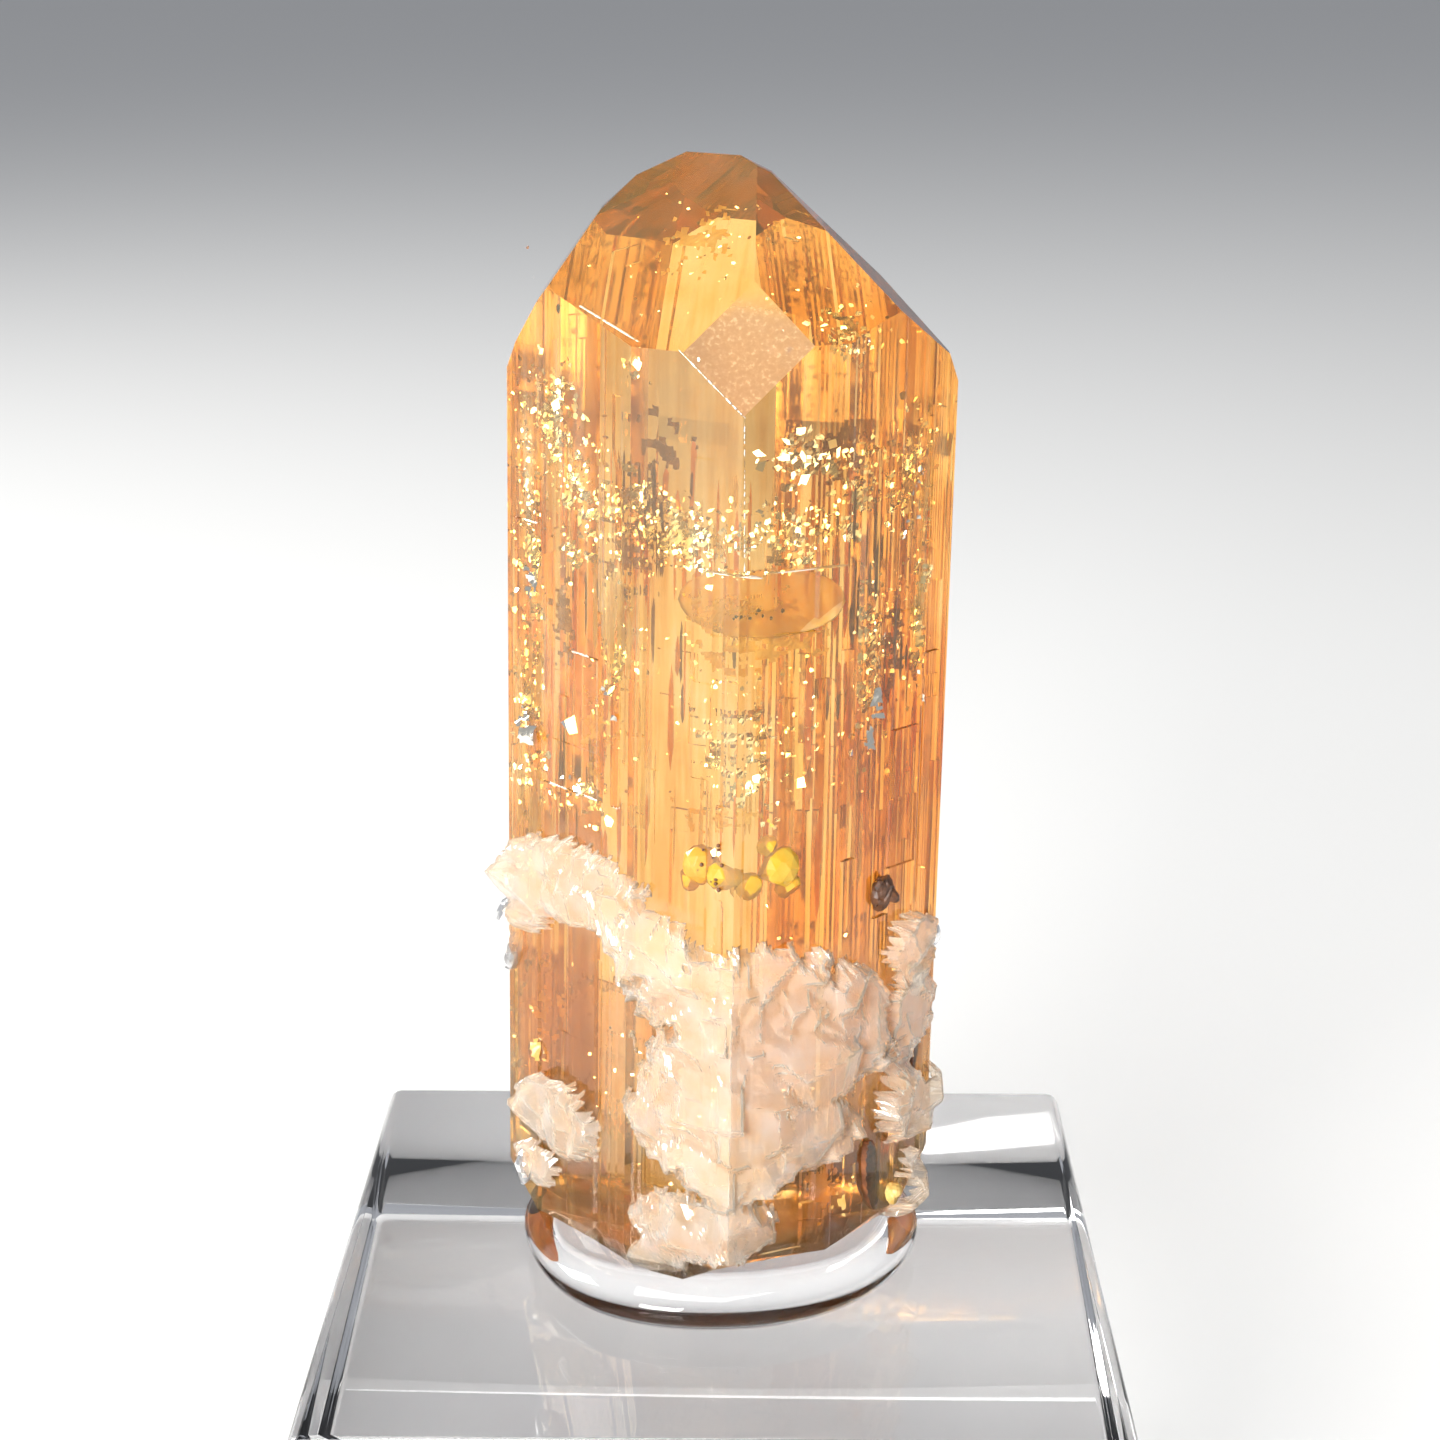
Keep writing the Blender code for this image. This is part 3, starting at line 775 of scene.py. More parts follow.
# Pits and chips: turn, height, half sizes across, outwards and up, tilt
PITS = [
    (66, 4.7 * MM, (0.60 * MM, 1.1 * MM, 1.75 * MM), -14),
    (82, 9.3 * MM, (0.50 * MM, 0.6 * MM, 0.85 * MM), 20),
    (-93.3, 23.3 * MM, (1.00 * MM, 0.5 * MM, 0.5 * MM), 0),
    (-93.3, 32.6 * MM, (1.20 * MM, 0.25 * MM, 0.8 * MM), 0),
    (87.1, 23.8 * MM, (1.20 * MM, 0.25 * MM, 1.3 * MM), 0),
]
DARK_GRAIN = (64.6, 17.0 * MM, (0.55 * MM, 0.50 * MM, 0.85 * MM), 28)
GOLD_GRAIN = (75, 3.5 * MM, (0.42 * MM, 0.42 * MM, 0.48 * MM), 10)

# Glitter of the fractures inside: x, height and depth behind the front face, half spread of each,
# how many, usual half size of one
GLITTER = [
    (-2.4 * MM, 32.6 * MM, 1.6 * MM, 1.9 * MM, 1.2 * MM, 1.0 * MM, 240, 0.13 * MM),
    (-0.9 * MM, 31.9 * MM, 1.4 * MM, 1.2 * MM, 0.9 * MM, 0.9 * MM, 200, 0.13 * MM),
    (2.6 * MM, 32.4 * MM, 1.4 * MM, 1.9 * MM, 1.0 * MM, 1.0 * MM, 200, 0.13 * MM),
    (3.1 * MM, 35.2 * MM, 1.4 * MM, 1.1 * MM, 0.7 * MM, 0.8 * MM, 80, 0.20 * MM),
    (5.2 * MM, 34.0 * MM, 1.5 * MM, 0.9 * MM, 1.3 * MM, 1.0 * MM, 100, 0.15 * MM),
    (7.2 * MM, 34.2 * MM, 1.2 * MM, 0.9 * MM, 2.0 * MM, 0.8 * MM, 140, 0.16 * MM),
    (8.3 * MM, 31.0 * MM, 0.6 * MM, 0.5 * MM, 4.0 * MM, 0.4 * MM, 180, 0.11 * MM),
    (-6.1 * MM, 36.4 * MM, 1.0 * MM, 0.8 * MM, 1.6 * MM, 0.7 * MM, 110, 0.15 * MM),
    (-7.4 * MM, 33.0 * MM, 0.7 * MM, 0.6 * MM, 4.0 * MM, 0.5 * MM, 170, 0.11 * MM),
    (-5.0 * MM, 33.0 * MM, 1.2 * MM, 1.3 * MM, 2.4 * MM, 0.8 * MM, 150, 0.11 * MM),
    (-2.9 * MM, 38.3 * MM, 0.9 * MM, 0.4 * MM, 0.4 * MM, 0.5 * MM, 16, 0.16 * MM),
    (1.5 * MM, 25.0 * MM, 1.6 * MM, 3.2 * MM, 3.4 * MM, 1.2 * MM, 200, 0.09 * MM),
    (5.9 * MM, 26.5 * MM, 0.8 * MM, 0.6 * MM, 3.6 * MM, 0.6 * MM, 170, 0.12 * MM),
    (7.4 * MM, 28.0 * MM, 0.8 * MM, 0.9 * MM, 2.4 * MM, 0.6 * MM, 90, 0.11 * MM),
    (-3.6 * MM, 27.5 * MM, 1.2 * MM, 0.9 * MM, 3.4 * MM, 0.8 * MM, 120, 0.10 * MM),
    (-7.3 * MM, 23.0 * MM, 0.6 * MM, 0.6 * MM, 4.4 * MM, 0.4 * MM, 220, 0.14 * MM),
    (-5.0 * MM, 20.6 * MM, 0.8 * MM, 1.6 * MM, 1.0 * MM, 0.5 * MM, 60, 0.12 * MM),
    (0.0 * MM, 41.5 * MM, 2.2 * MM, 3.4 * MM, 2.0 * MM, 1.4 * MM, 70, 0.08 * MM),
    (4.6 * MM, 39.6 * MM, 1.4 * MM, 1.2 * MM, 0.8 * MM, 0.8 * MM, 50, 0.13 * MM),
    (0.5 * MM, 30.95 * MM, 0.5 * MM, 2.6 * MM, 0.12 * MM, 0.3 * MM, 90, 0.10 * MM),
    (1.0 * MM, 10.0 * MM, 0.4 * MM, 5.0 * MM, 5.0 * MM, 0.4 * MM, 160, 0.09 * MM),
]
# Places where one large fracture catches the light: x, height, depth, half size
BRIGHT_SPOTS = [
    (-5.6 * MM, 23.6 * MM, 0.25 * MM, 0.55 * MM),
    (-6.1 * MM, 36.2 * MM, 0.5 * MM, 0.32 * MM),
    (-2.9 * MM, 38.4 * MM, 0.5 * MM, 0.26 * MM),
    (3.4 * MM, 22.5 * MM, 0.5 * MM, 0.30 * MM),
    (1.7 * MM, 22.9 * MM, 0.5 * MM, 0.24 * MM),
    (0.3 * MM, 19.9 * MM, 0.3 * MM, 0.26 * MM),
    (-3.9 * MM, 20.2 * MM, 0.3 * MM, 0.3 * MM),
    (3.2 * MM, 34.4 * MM, 0.6 * MM, 0.3 * MM),
    (4.9 * MM, 32.0 * MM, 0.6 * MM, 0.22 * MM),
    (7.2 * MM, 34.3 * MM, 0.6 * MM, 0.28 * MM),
]

# Edges with a painted highlight, as pale lines of small lumps, in millimetres: x and height of each end
PAINTED_EDGE_HIGHLIGHTS = [
    (1.03, 36.9, 1.15, 31.0),
    (-1.3, 39.05, 1.0, 36.98),
    (-5.2, 40.2, -3.0, 39.3),
]

# Crinkled fractures inside: x, height, depth, half width, half height, how whole it is, tone
FRACTURES = [
    (-1.3 * MM, 32.2 * MM, 0.7 * MM, 1.9 * MM, 1.1 * MM, 0.55, 0),
    (-3.0 * MM, 33.4 * MM, 1.3 * MM, 1.3 * MM, 1.6 * MM, 0.45, 0),
    (2.6 * MM, 32.3 * MM, 0.8 * MM, 1.4 * MM, 1.2 * MM, 0.5, 0),
    (3.1 * MM, 35.0 * MM, 1.0 * MM, 1.5 * MM, 1.1 * MM, 0.45, 0),
    (7.0 * MM, 33.6 * MM, 0.9 * MM, 1.0 * MM, 2.2 * MM, 0.5, 0),
    (5.2 * MM, 33.4 * MM, 1.0 * MM, 0.9 * MM, 2.0 * MM, 0.45, 0),
    (-6.1 * MM, 35.6 * MM, 0.8 * MM, 1.0 * MM, 2.0 * MM, 0.45, 0),
    (-5.0 * MM, 32.0 * MM, 0.9 * MM, 1.2 * MM, 2.6 * MM, 0.4, 0),
    (-7.1 * MM, 30.6 * MM, 0.6 * MM, 0.7 * MM, 3.4 * MM, 0.4, 0),
    (-7.2 * MM, 24.4 * MM, 0.5 * MM, 0.6 * MM, 3.8 * MM, 0.6, 0),
    (-7.2 * MM, 18.2 * MM, 0.5 * MM, 0.6 * MM, 2.0 * MM, 0.5, 0),
    (-4.6 * MM, 21.2 * MM, 0.6 * MM, 1.5 * MM, 1.0 * MM, 0.4, 0),
    (5.9 * MM, 27.0 * MM, 0.7 * MM, 0.7 * MM, 3.8 * MM, 0.4, 0),
    (8.0 * MM, 28.0 * MM, 0.5 * MM, 0.5 * MM, 4.4 * MM, 0.4, 0),
    (1.4 * MM, 23.8 * MM, 1.2 * MM, 2.6 * MM, 3.2 * MM, 0.2, 0),
    (-3.4 * MM, 27.6 * MM, 1.0 * MM, 1.2 * MM, 3.2 * MM, 0.25, 0),
    (1.6 * MM, 28.6 * MM, 1.3 * MM, 2.8 * MM, 1.7 * MM, 0.65, 1),
    (-4.0 * MM, 24.0 * MM, 1.5 * MM, 1.6 * MM, 2.6 * MM, 0.3, 1),
    (0.6 * MM, 21.0 * MM, 1.0 * MM, 2.2 * MM, 1.0 * MM, 0.3, 1),
    (0.0 * MM, 42.0 * MM, 3.0 * MM, 2.6 * MM, 2.2 * MM, 0.15, 1),
    (4.6 * MM, 39.6 * MM, 0.8 * MM, 1.4 * MM, 0.9 * MM, 0.35, 0),
    (-1.6 * MM, 35.0 * MM, 2.4 * MM, 1.5 * MM, 1.8 * MM, 0.35, 2),
    (4.3 * MM, 35.2 * MM, 2.0 * MM, 1.2 * MM, 1.6 * MM, 0.4, 2),
    (-3.0 * MM, 30.8 * MM, 1.8 * MM, 1.0 * MM, 2.0 * MM, 0.4, 2),
    (6.6 * MM, 27.0 * MM, 1.6 * MM, 0.8 * MM, 2.4 * MM, 0.4, 2),
    (-5.6 * MM, 27.5 * MM, 1.6 * MM, 1.0 * MM, 3.0 * MM, 0.35, 2),
    (-6.4 * MM, 10.5 * MM, 0.7 * MM, 1.2 * MM, 3.4 * MM, 0.2, 1),
    (4.6 * MM, 5.2 * MM, 0.8 * MM, 1.6 * MM, 2.0 * MM, 0.25, 1),
]

# Upright streaks inside: x, height and depth, half spread of each, how many, half width, half length, tone
STREAKS = [
    (0 * MM, 26 * MM, 2.2 * MM, 7.6 * MM, 8 * MM, 1.6 * MM, 70, 0.11 * MM, 1.6 * MM, 0),
    (0 * MM, 26 * MM, 2.6 * MM, 7.6 * MM, 8 * MM, 1.8 * MM, 70, 0.15 * MM, 2.0 * MM, 1),
    (0 * MM, 27 * MM, 2.6 * MM, 7.6 * MM, 7 * MM, 1.6 * MM, 24, 0.09 * MM, 1.1 * MM, 2),
    (-3.7 * MM, 28.4 * MM, 0.6 * MM, 0.9 * MM, 1.4 * MM, 0.3 * MM, 26, 0.10 * MM, 1.8 * MM, 0),
    (-7.3 * MM, 22.0 * MM, 0.5 * MM, 0.5 * MM, 4.0 * MM, 0.3 * MM, 50, 0.12 * MM, 1.2 * MM, 0),
    (8.0 * MM, 31.0 * MM, 0.5 * MM, 0.6 * MM, 3.0 * MM, 0.3 * MM, 30, 0.07 * MM, 1.2 * MM, 0),
    (-2.2 * MM, 32.6 * MM, 1.2 * MM, 0.5 * MM, 1.4 * MM, 0.4 * MM, 12, 0.10 * MM, 1.4 * MM, 2),
    (5.6 * MM, 31.0 * MM, 1.0 * MM, 0.5 * MM, 2.4 * MM, 0.5 * MM, 14, 0.10 * MM, 1.4 * MM, 2),
    (7.0 * MM, 26.5 * MM, 0.8 * MM, 0.7 * MM, 1.6 * MM, 0.4 * MM, 10, 0.08 * MM, 1.4 * MM, 2),
    (-5.2 * MM, 20.5 * MM, 0.8 * MM, 0.8 * MM, 1.8 * MM, 0.4 * MM, 8, 0.07 * MM, 1.2 * MM, 2),
]


def thin_plate(chance):
    """An irregular flat chip, as points and faces."""
    sides = chance.choice((4, 5, 6))
    rim = []
    for side in range(sides):
        turn = math.tau * (side + chance.uniform(-0.3, 0.3)) / sides
        rim.append((math.cos(turn) * chance.uniform(0.6, 1), math.sin(turn) * chance.uniform(0.6, 1)))
    points = [Vector((x, y, z)) for z in (-0.04, 0.04) for x, y in rim]
    faces = [list(range(sides))[::-1], list(range(sides, 2 * sides))]
    for side in range(sides):
        after = (side + 1) % sides
        faces.append([side, after, after + sides, side + sides])
    return points, faces


def crinkled_cells(chance, half_wide, half_high, share):
    """A fracture as a crinkled sheet of thin adjoining cells, with holes: points and faces of each cell."""
    step = 0.15 * MM
    across, up = max(2, round(2 * half_wide / step)), max(2, round(2 * half_high / step))
    seed = Vector([chance.uniform(0, 90) for _ in range(3)])
    corners = {}
    for i in range(across + 1):
        for j in range(up + 1):
            x, y = (i / across * 2 - 1) * half_wide, (j / up * 2 - 1) * half_high
            x += chance.uniform(-0.3, 0.3) * step
            y += chance.uniform(-0.3, 0.3) * step
            rise = 0.35 * MM * noise.noise(Vector((x, y, 0)) / (1.3 * MM) + seed) + chance.uniform(-0.16, 0.16) * step
            corners[i, j] = Vector((x, y, rise))
    cells = []
    for i in range(across):
        for j in range(up):
            middle = (corners[i, j] + corners[i + 1, j + 1]) / 2
            away = math.hypot(middle.x / half_wide, middle.y / half_high)
            holes = noise.noise(middle / (0.55 * MM) + seed) + 0.6 * noise.noise(middle / (0.22 * MM) - seed)
            if holes < 0.9 * (away - share):
                continue
            rim = [corners[i, j], corners[i + 1, j], corners[i + 1, j + 1], corners[i, j + 1]]
            points = [corner + Vector((0, 0, lift)) for lift in (-0.01 * MM, 0.01 * MM) for corner in rim]
            faces = [[3, 2, 1, 0], [4, 5, 6, 7], [0, 1, 5, 4], [1, 2, 6, 5], [2, 3, 7, 6], [3, 0, 4, 7]]
            cells.append((points, faces))
    return cells


def fracture_copies(chance):
    stand = stand_up_matrix()
    copies = []
    for x, height, depth, half_wide, half_high, share, tone in FRACTURES:
        place = front_place(x, height, depth)
        jitter = Vector([chance.gauss(0, 0.08) for _ in range(3)])
        normal = (glint_direction(place) + jitter).normalized()
        side = Vector((0, 0, 1)).cross(normal).normalized()
        turned = Matrix((side, normal.cross(side), normal)).transposed().to_4x4()
        for cell in crinkled_cells(chance, half_wide, half_high, share):
            copies.append((cell, stand @ Matrix.Translation(place) @ turned, tone))
    return copies


def splinter(chance):
    """An upright splinter with pointed ends, as points and faces."""
    points = [Vector((0, 0, -1)), Vector((0, 0, 1))]
    for level in (-0.6, 0.6):
        for side in range(4):
            turn = math.tau * (side + 0.5) / 4
            wide = chance.uniform(0.5, 1)
            points.append(Vector((math.cos(turn) * wide, math.sin(turn) * 0.5, level + chance.uniform(-0.2, 0.2))))
    faces = []
    for side in range(4):
        after = (side + 1) % 4
        faces += [[0, 2 + after, 2 + side], [2 + side, 2 + after, 6 + after, 6 + side], [1, 6 + side, 6 + after]]
    return points, faces


def as_shape(obj):
    """The points and faces of an object, which is then taken away."""
    shape = ([v.co.copy() for v in obj.data.vertices], [list(f.vertices) for f in obj.data.polygons])
    bpy.data.objects.remove(obj, do_unlink=True)
    return shape


def joined_copies(name, copies, materials, smooth=False):
    """One mesh from many copies, each a shape, the matrix that sets it in place, and its material."""
    points, faces, slots = [], [], []
    for (shape_points, shape_faces), matrix, slot in copies:
        start = len(points)
        points += [matrix @ point for point in shape_points]
        faces += [[start + corner for corner in face] for face in shape_faces]
        slots += [slot] * len(shape_faces)
    mesh = bpy.data.meshes.new(name)
    mesh.from_pydata(points, [], faces)
    mesh.polygons.foreach_set("material_index", slots)
    mesh.polygons.foreach_set("use_smooth", [smooth] * len(faces))
    for made in materials:
        mesh.materials.append(made)
    mesh.update()
    obj = bpy.data.objects.new(name, mesh)
    bpy.context.scene.collection.objects.link(obj)
    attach(obj, "root")
    return obj


def random_turn(chance):
    axis = Vector([chance.gauss(0, 1) for _ in range(3)]).normalized()
    return Matrix.Rotation(chance.uniform(0, math.tau), 4, axis)


def sizing(*sizes):
    return Matrix.Diagonal((*sizes, 1))


def side_places(turns, heights):
    """Places on the crystal's side and the directions outwards, for arrays of turns and heights."""
    out_x, out_y = np.sin(turns), -np.cos(turns)
    reach = np.full(turns.shape, 1.0)
    planes = []
    for a_index, b_index, distance in PRISM_FACES:
        outward = crystal_direction(a_index, b_index, 0)
        planes.append((outward, CRYSTAL_AXIS + outward * distance))
    for outward, place in FOOT_BREAKS:
        planes.append((Vector(outward).normalized(), Vector(place)))
    for outward, place in planes:
        along = out_x * outward.x + out_y * outward.y
        gap = (outward.x * (place.x - CRYSTAL_AXIS.x) + outward.y * (place.y - CRYSTAL_AXIS.y)
               + outward.z * (place.z - heights))
        ratio = np.where(along > 0.05, gap / np.maximum(along, 0.05), 1.0)
        reach = np.minimum(reach, ratio)
    return out_x, out_y, np.maximum(reach, 0)


def crust_rise(arc, heights, chance):
    """How far the crust stands out of the side: the tops of many faceted crystals, and how far it spreads."""
    rise = np.full(arc.shape, -0.2 * MM)
    cover = np.full(arc.shape, -1.0)
    for turn, height, turn_spread, height_spread in CRUST_PATCHES:
        round_about = (arc - math.radians(turn) + math.pi) % math.tau - math.pi
        away = np.hypot(round_about / math.radians(turn_spread), (heights - height) / height_spread)
        cover = np.maximum(cover, 1.08 - away)
        area = turn_spread * height_spread / MM
        for size, share in ((1.15 * MM, 0.16), (0.7 * MM, 0.45), (0.36 * MM, 1.1)):
            for _ in range(max(1, round(area * share))):
                out = math.sqrt(chance.random())
                spin = chance.uniform(0, math.tau)
                middle_turn = math.radians(turn + turn_spread * out * math.cos(spin))
                middle_height = height + height_spread * out * math.sin(spin)
                half = size * chance.uniform(0.6, 1.3)
                across = ((arc - middle_turn + math.pi) % math.tau - math.pi) * 7.4 * MM
                up = heights - middle_height
                near = (np.abs(across) < 1.6 * half) & (np.abs(up) < 1.6 * half)
                if not near.any():
                    continue
                top = np.full(near.sum(), half * chance.uniform(0.4, 0.75))
                for _ in range(6):
                    lean = chance.uniform(0, math.tau)
                    slope = chance.uniform(0.7, 2.2)
                    edge = half * chance.uniform(0.35, 0.8)
                    way = across[near] * math.cos(lean) + up[near] * math.sin(lean)
                    top = np.minimum(top, top.max() + slope * (edge - way) * 0.6)
                lean = chance.uniform(0, math.tau)
                top = top + 0.25 * (across[near] * math.cos(lean) + up[near] * math.sin(lean))
                rise[near] = np.maximum(rise[near], top)
    return rise, cover


def crust_shell(chance):
    """The crust as a sheet that follows the crystal's side, thick where it has lumps, open elsewhere."""
    columns, rows = 420, 160
    low, high = 1.2 * MM, 20.0 * MM
    bpy.ops.object.select_all(action="DESELECT")
    bpy.ops.mesh.primitive_cylinder_add(vertices=columns, radius=1, depth=1, end_fill_type="NOTHING")
    obj = bpy.context.object
    bpy.ops.object.mode_set(mode="EDIT")
    bpy.ops.mesh.select_all(action="DESELECT")
    bm = bmesh.from_edit_mesh(obj.data)
    for edge in bm.edges:
        edge.select_set(abs(edge.verts[0].co.z - edge.verts[1].co.z) > 0.5)
    bmesh.update_edit_mesh(obj.data)
    bpy.ops.mesh.subdivide(number_cuts=rows - 2)
    bpy.ops.object.mode_set(mode="OBJECT")
    ring = get_places(obj)
    turns = np.arctan2(ring[:, 0], -ring[:, 1])
    heights = low + (ring[:, 2] + 0.5) * (high - low)
    rise, cover = crust_rise(turns, heights, chance)
    ragged = np.array([noise.noise(Vector((turn * 9, height / MM * 1.2, 3.1)))
                       + 0.5 * noise.noise(Vector((turn * 24, height / MM * 3.3, 8.2)))
                       for turn, height in zip(turns, heights)])
    kept = cover + 0.22 * ragged > 0.04
    for pit in PITS[:2] + [DARK_GRAIN, GOLD_GRAIN]:
        away = np.hypot((turns - math.radians(pit[0])) * 7.4 * MM / (pit[2][0] + 0.15 * MM),
                        (heights - pit[1]) / (pit[2][2] + 0.1 * MM))
        kept &= away > 1
    out_x, out_y, reach = side_places(turns, heights)
    fade = np.clip((cover + 0.22 * ragged - 0.04) * 5, 0, 1)
    reach = reach + np.maximum(rise, 0.02 * MM) * fade - 0.12 * MM * (1 - fade)
    set_places(obj, np.stack([CRYSTAL_AXIS.x + out_x * reach, CRYSTAL_AXIS.y + out_y * reach, heights], axis=1))
    bm = bmesh.new()
    bm.from_mesh(obj.data)
    bm.verts.ensure_lookup_table()
    gone = [bm.verts[number] for number in np.flatnonzero(~kept)]
    bmesh.ops.delete(bm, geom=gone, context="VERTS")
    loose = [vertex for vertex in bm.verts if not vertex.link_faces]
    bmesh.ops.delete(bm, geom=loose, context="VERTS")
    bm.to_mesh(obj.data)
    bm.free()
    select_only(obj)
    thick = obj.modifiers.new("thickness", "SOLIDIFY")
    thick.thickness = 0.16 * MM
    thick.offset = -1
    bpy.ops.object.modifier_apply(modifier=thick.name)
    obj.data.transform(stand_up_matrix())
    for face in obj.data.polygons:
        face.use_smooth = False
    return obj


def facing(normal, chance):
    """A turn that points a flat chip's face this way, with a random spin."""
    spin = Matrix.Rotation(chance.uniform(0, math.tau), 4, "Z")
    return normal.to_track_quat("Z", "Y").to_matrix().to_4x4() @ spin


def glitter_copies(chance):
    stand = stand_up_matrix()
    copies = []
    for x, height, depth, x_spread, height_spread, depth_spread, count, size in GLITTER:
        for _ in range(count):
            at_x = chance.gauss(x, x_spread * 0.6)
            at_height = chance.gauss(height, height_spread * 0.6)
            at_depth = max(0.2 * MM, chance.gauss(depth, depth_spread * 0.6))
            if abs(at_x) > 8.2 * MM:
                continue
            place = front_place(at_x, at_height, at_depth)
            jitter = Vector([chance.gauss(0, 1) for _ in range(3)])
            normal = (glint_direction(place) + jitter * (0.05 if chance.random() < 0.45 else 0.4)).normalized()
            grain = size * chance.uniform(0.4, 1.7)
            shape = sizing(grain, grain * chance.uniform(0.3, 1), grain)
            tone = 0 if chance.random() < 0.6 else 1
            copies.append((thin_plate(chance), stand @ Matrix.Translation(place) @ facing(normal, chance) @ shape,
                           tone))
    for x, height, depth, size in BRIGHT_SPOTS:
        place = front_place(x, height, depth)
        copies.append((thin_plate(chance), stand @ Matrix.Translation(place)
                       @ facing(glint_direction(place), chance) @ sizing(size, size, size * 0.3), 0))
    return copies


def streak_copies(chance):
    stand = stand_up_matrix()
    copies = []
    for x, height, depth, x_spread, height_spread, depth_spread, count, width, length, tone in STREAKS:
        for _ in range(count):
            at_x = chance.uniform(x - x_spread, x + x_spread)
            at_height = chance.uniform(height - height_spread, height + height_spread)
            at_depth = max(0.15 * MM, chance.uniform(depth - depth_spread, depth + depth_spread))
            long = length * chance.uniform(0.3, 1.3)
            if abs(at_x) > 8.3 * MM or at_height + long > 37 * MM:
                continue
            place = front_place(at_x, at_height, at_depth)
            wide = width * chance.uniform(0.4, 1.5)
            spin = Matrix.Rotation(chance.uniform(-0.8, 0.8), 4, "Z")
            copies.append((splinter(chance), stand @ Matrix.Translation(place) @ spin @ sizing(wide, wide, long), tone))
    return copies


class SPECIMEN_OT_sugary_crust(bpy.types.Operator):
    """Grow the small pale crystals of the crust over the sides and foot"""

    bl_idname = "specimen.sugary_crust"
    bl_label = "Sugary Crust"

    def execute(self, context):
        cloudy = glassy_material("cloudy crust", (1.0, 0.95, 0.87), 1.5, 0.1, 0.8, (1.0, 0.83, 0.62), 0.35, 900)
        warm = glassy_material("clear crust", (1.0, 0.92, 0.82), 1.45, 0.12, 0.6, (1.0, 0.8, 0.58), 0.3)
        obj = name_piece(crust_shell(random.Random(31)), "sugary_crust")
        obj.data.materials.append(cloudy)
        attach(obj, "root")
        return {"FINISHED"}


class SPECIMEN_OT_knobs(bpy.types.Operator):
    """Set the few clear knob crystals on the edges"""

    bl_idname = "specimen.knobs"
    bl_label = "Clear Knobs"

    def execute(self, context):
        chance = random.Random(3)
        copies = []
        for turn, height, half_sizes, tilt in KNOBS:
            shape = as_shape(chipped_ball(chance, 3, 6, 0.75))
            copies.append((shape, side_matrix(turn, height, tilt) @ sizing(*half_sizes), 0))
        clear = glassy_material("clear knob", (1.0, 0.98, 0.95), 1.54, 0.04, 0.93, (1.0, 0.94, 0.86), 0.3)
        joined_copies("clear_knobs", copies, [clear])
        return {"FINISHED"}


class SPECIMEN_OT_glitter(bpy.types.Operator):
    """Scatter the bright fracture chips inside the crystal"""

    bl_idname = "specimen.glitter"
    bl_label = "Fracture Glitter"

    def execute(self, context):
        white, tree, shader = new_material("white glint", (1, 0.98, 0.95))
        set_shader(shader, Metallic=1, Roughness=0.15)
        gold, tree, shader = new_material("golden glint", (1, 0.9, 0.68))
        set_shader(shader, Metallic=1, Roughness=0.28)
        joined_copies("fracture_glitter", glitter_copies(random.Random(17)), [white, gold])
        return {"FINISHED"}


class SPECIMEN_OT_fractures(bpy.types.Operator):
    """Set the crinkled fractures inside the crystal"""

    bl_idname = "specimen.fractures"
    bl_label = "Crinkled Fractures"

    def execute(self, context):
        white, tree, shader = new_material("fracture", (1, 0.94, 0.8))
        set_shader(shader, Metallic=1, Roughness=0.12)
        golden = glassy_material("golden fracture", (1.0, 0.66, 0.16), 1.3, 0.15, 0.6, (1.0, 0.8, 0.35), 0.4)
        brown = glassy_material("brown fracture", (0.35, 0.2, 0.08), 1.3, 0.2, 0.6, (0.5, 0.3, 0.12), 0.4)
        joined_copies("fractures", fracture_copies(random.Random(53)), [white, golden, brown])
        return {"FINISHED"}


class SPECIMEN_OT_streaks(bpy.types.Operator):
    """Set the upright growth streaks inside the crystal"""

    bl_idname = "specimen.streaks"
    bl_label = "Growth Streaks"

    def execute(self, context):
        pale = glassy_material("pale streak", (1.0, 0.92, 0.74), 1.2, 0.3, 0.7, (1.0, 0.82, 0.5))
        orange = glassy_material("orange streak", (0.95, 0.5, 0.12), 1.2, 0.3, 0.7, (0.85, 0.36, 0.06))
        dark = glassy_material("dark streak", (0.35, 0.2, 0.08), 1.2, 0.4, 0.6, (0.2, 0.11, 0.04))
        joined_copies("growth_streaks", streak_copies(random.Random(29)), [pale, orange, dark])
        return {"FINISHED"}


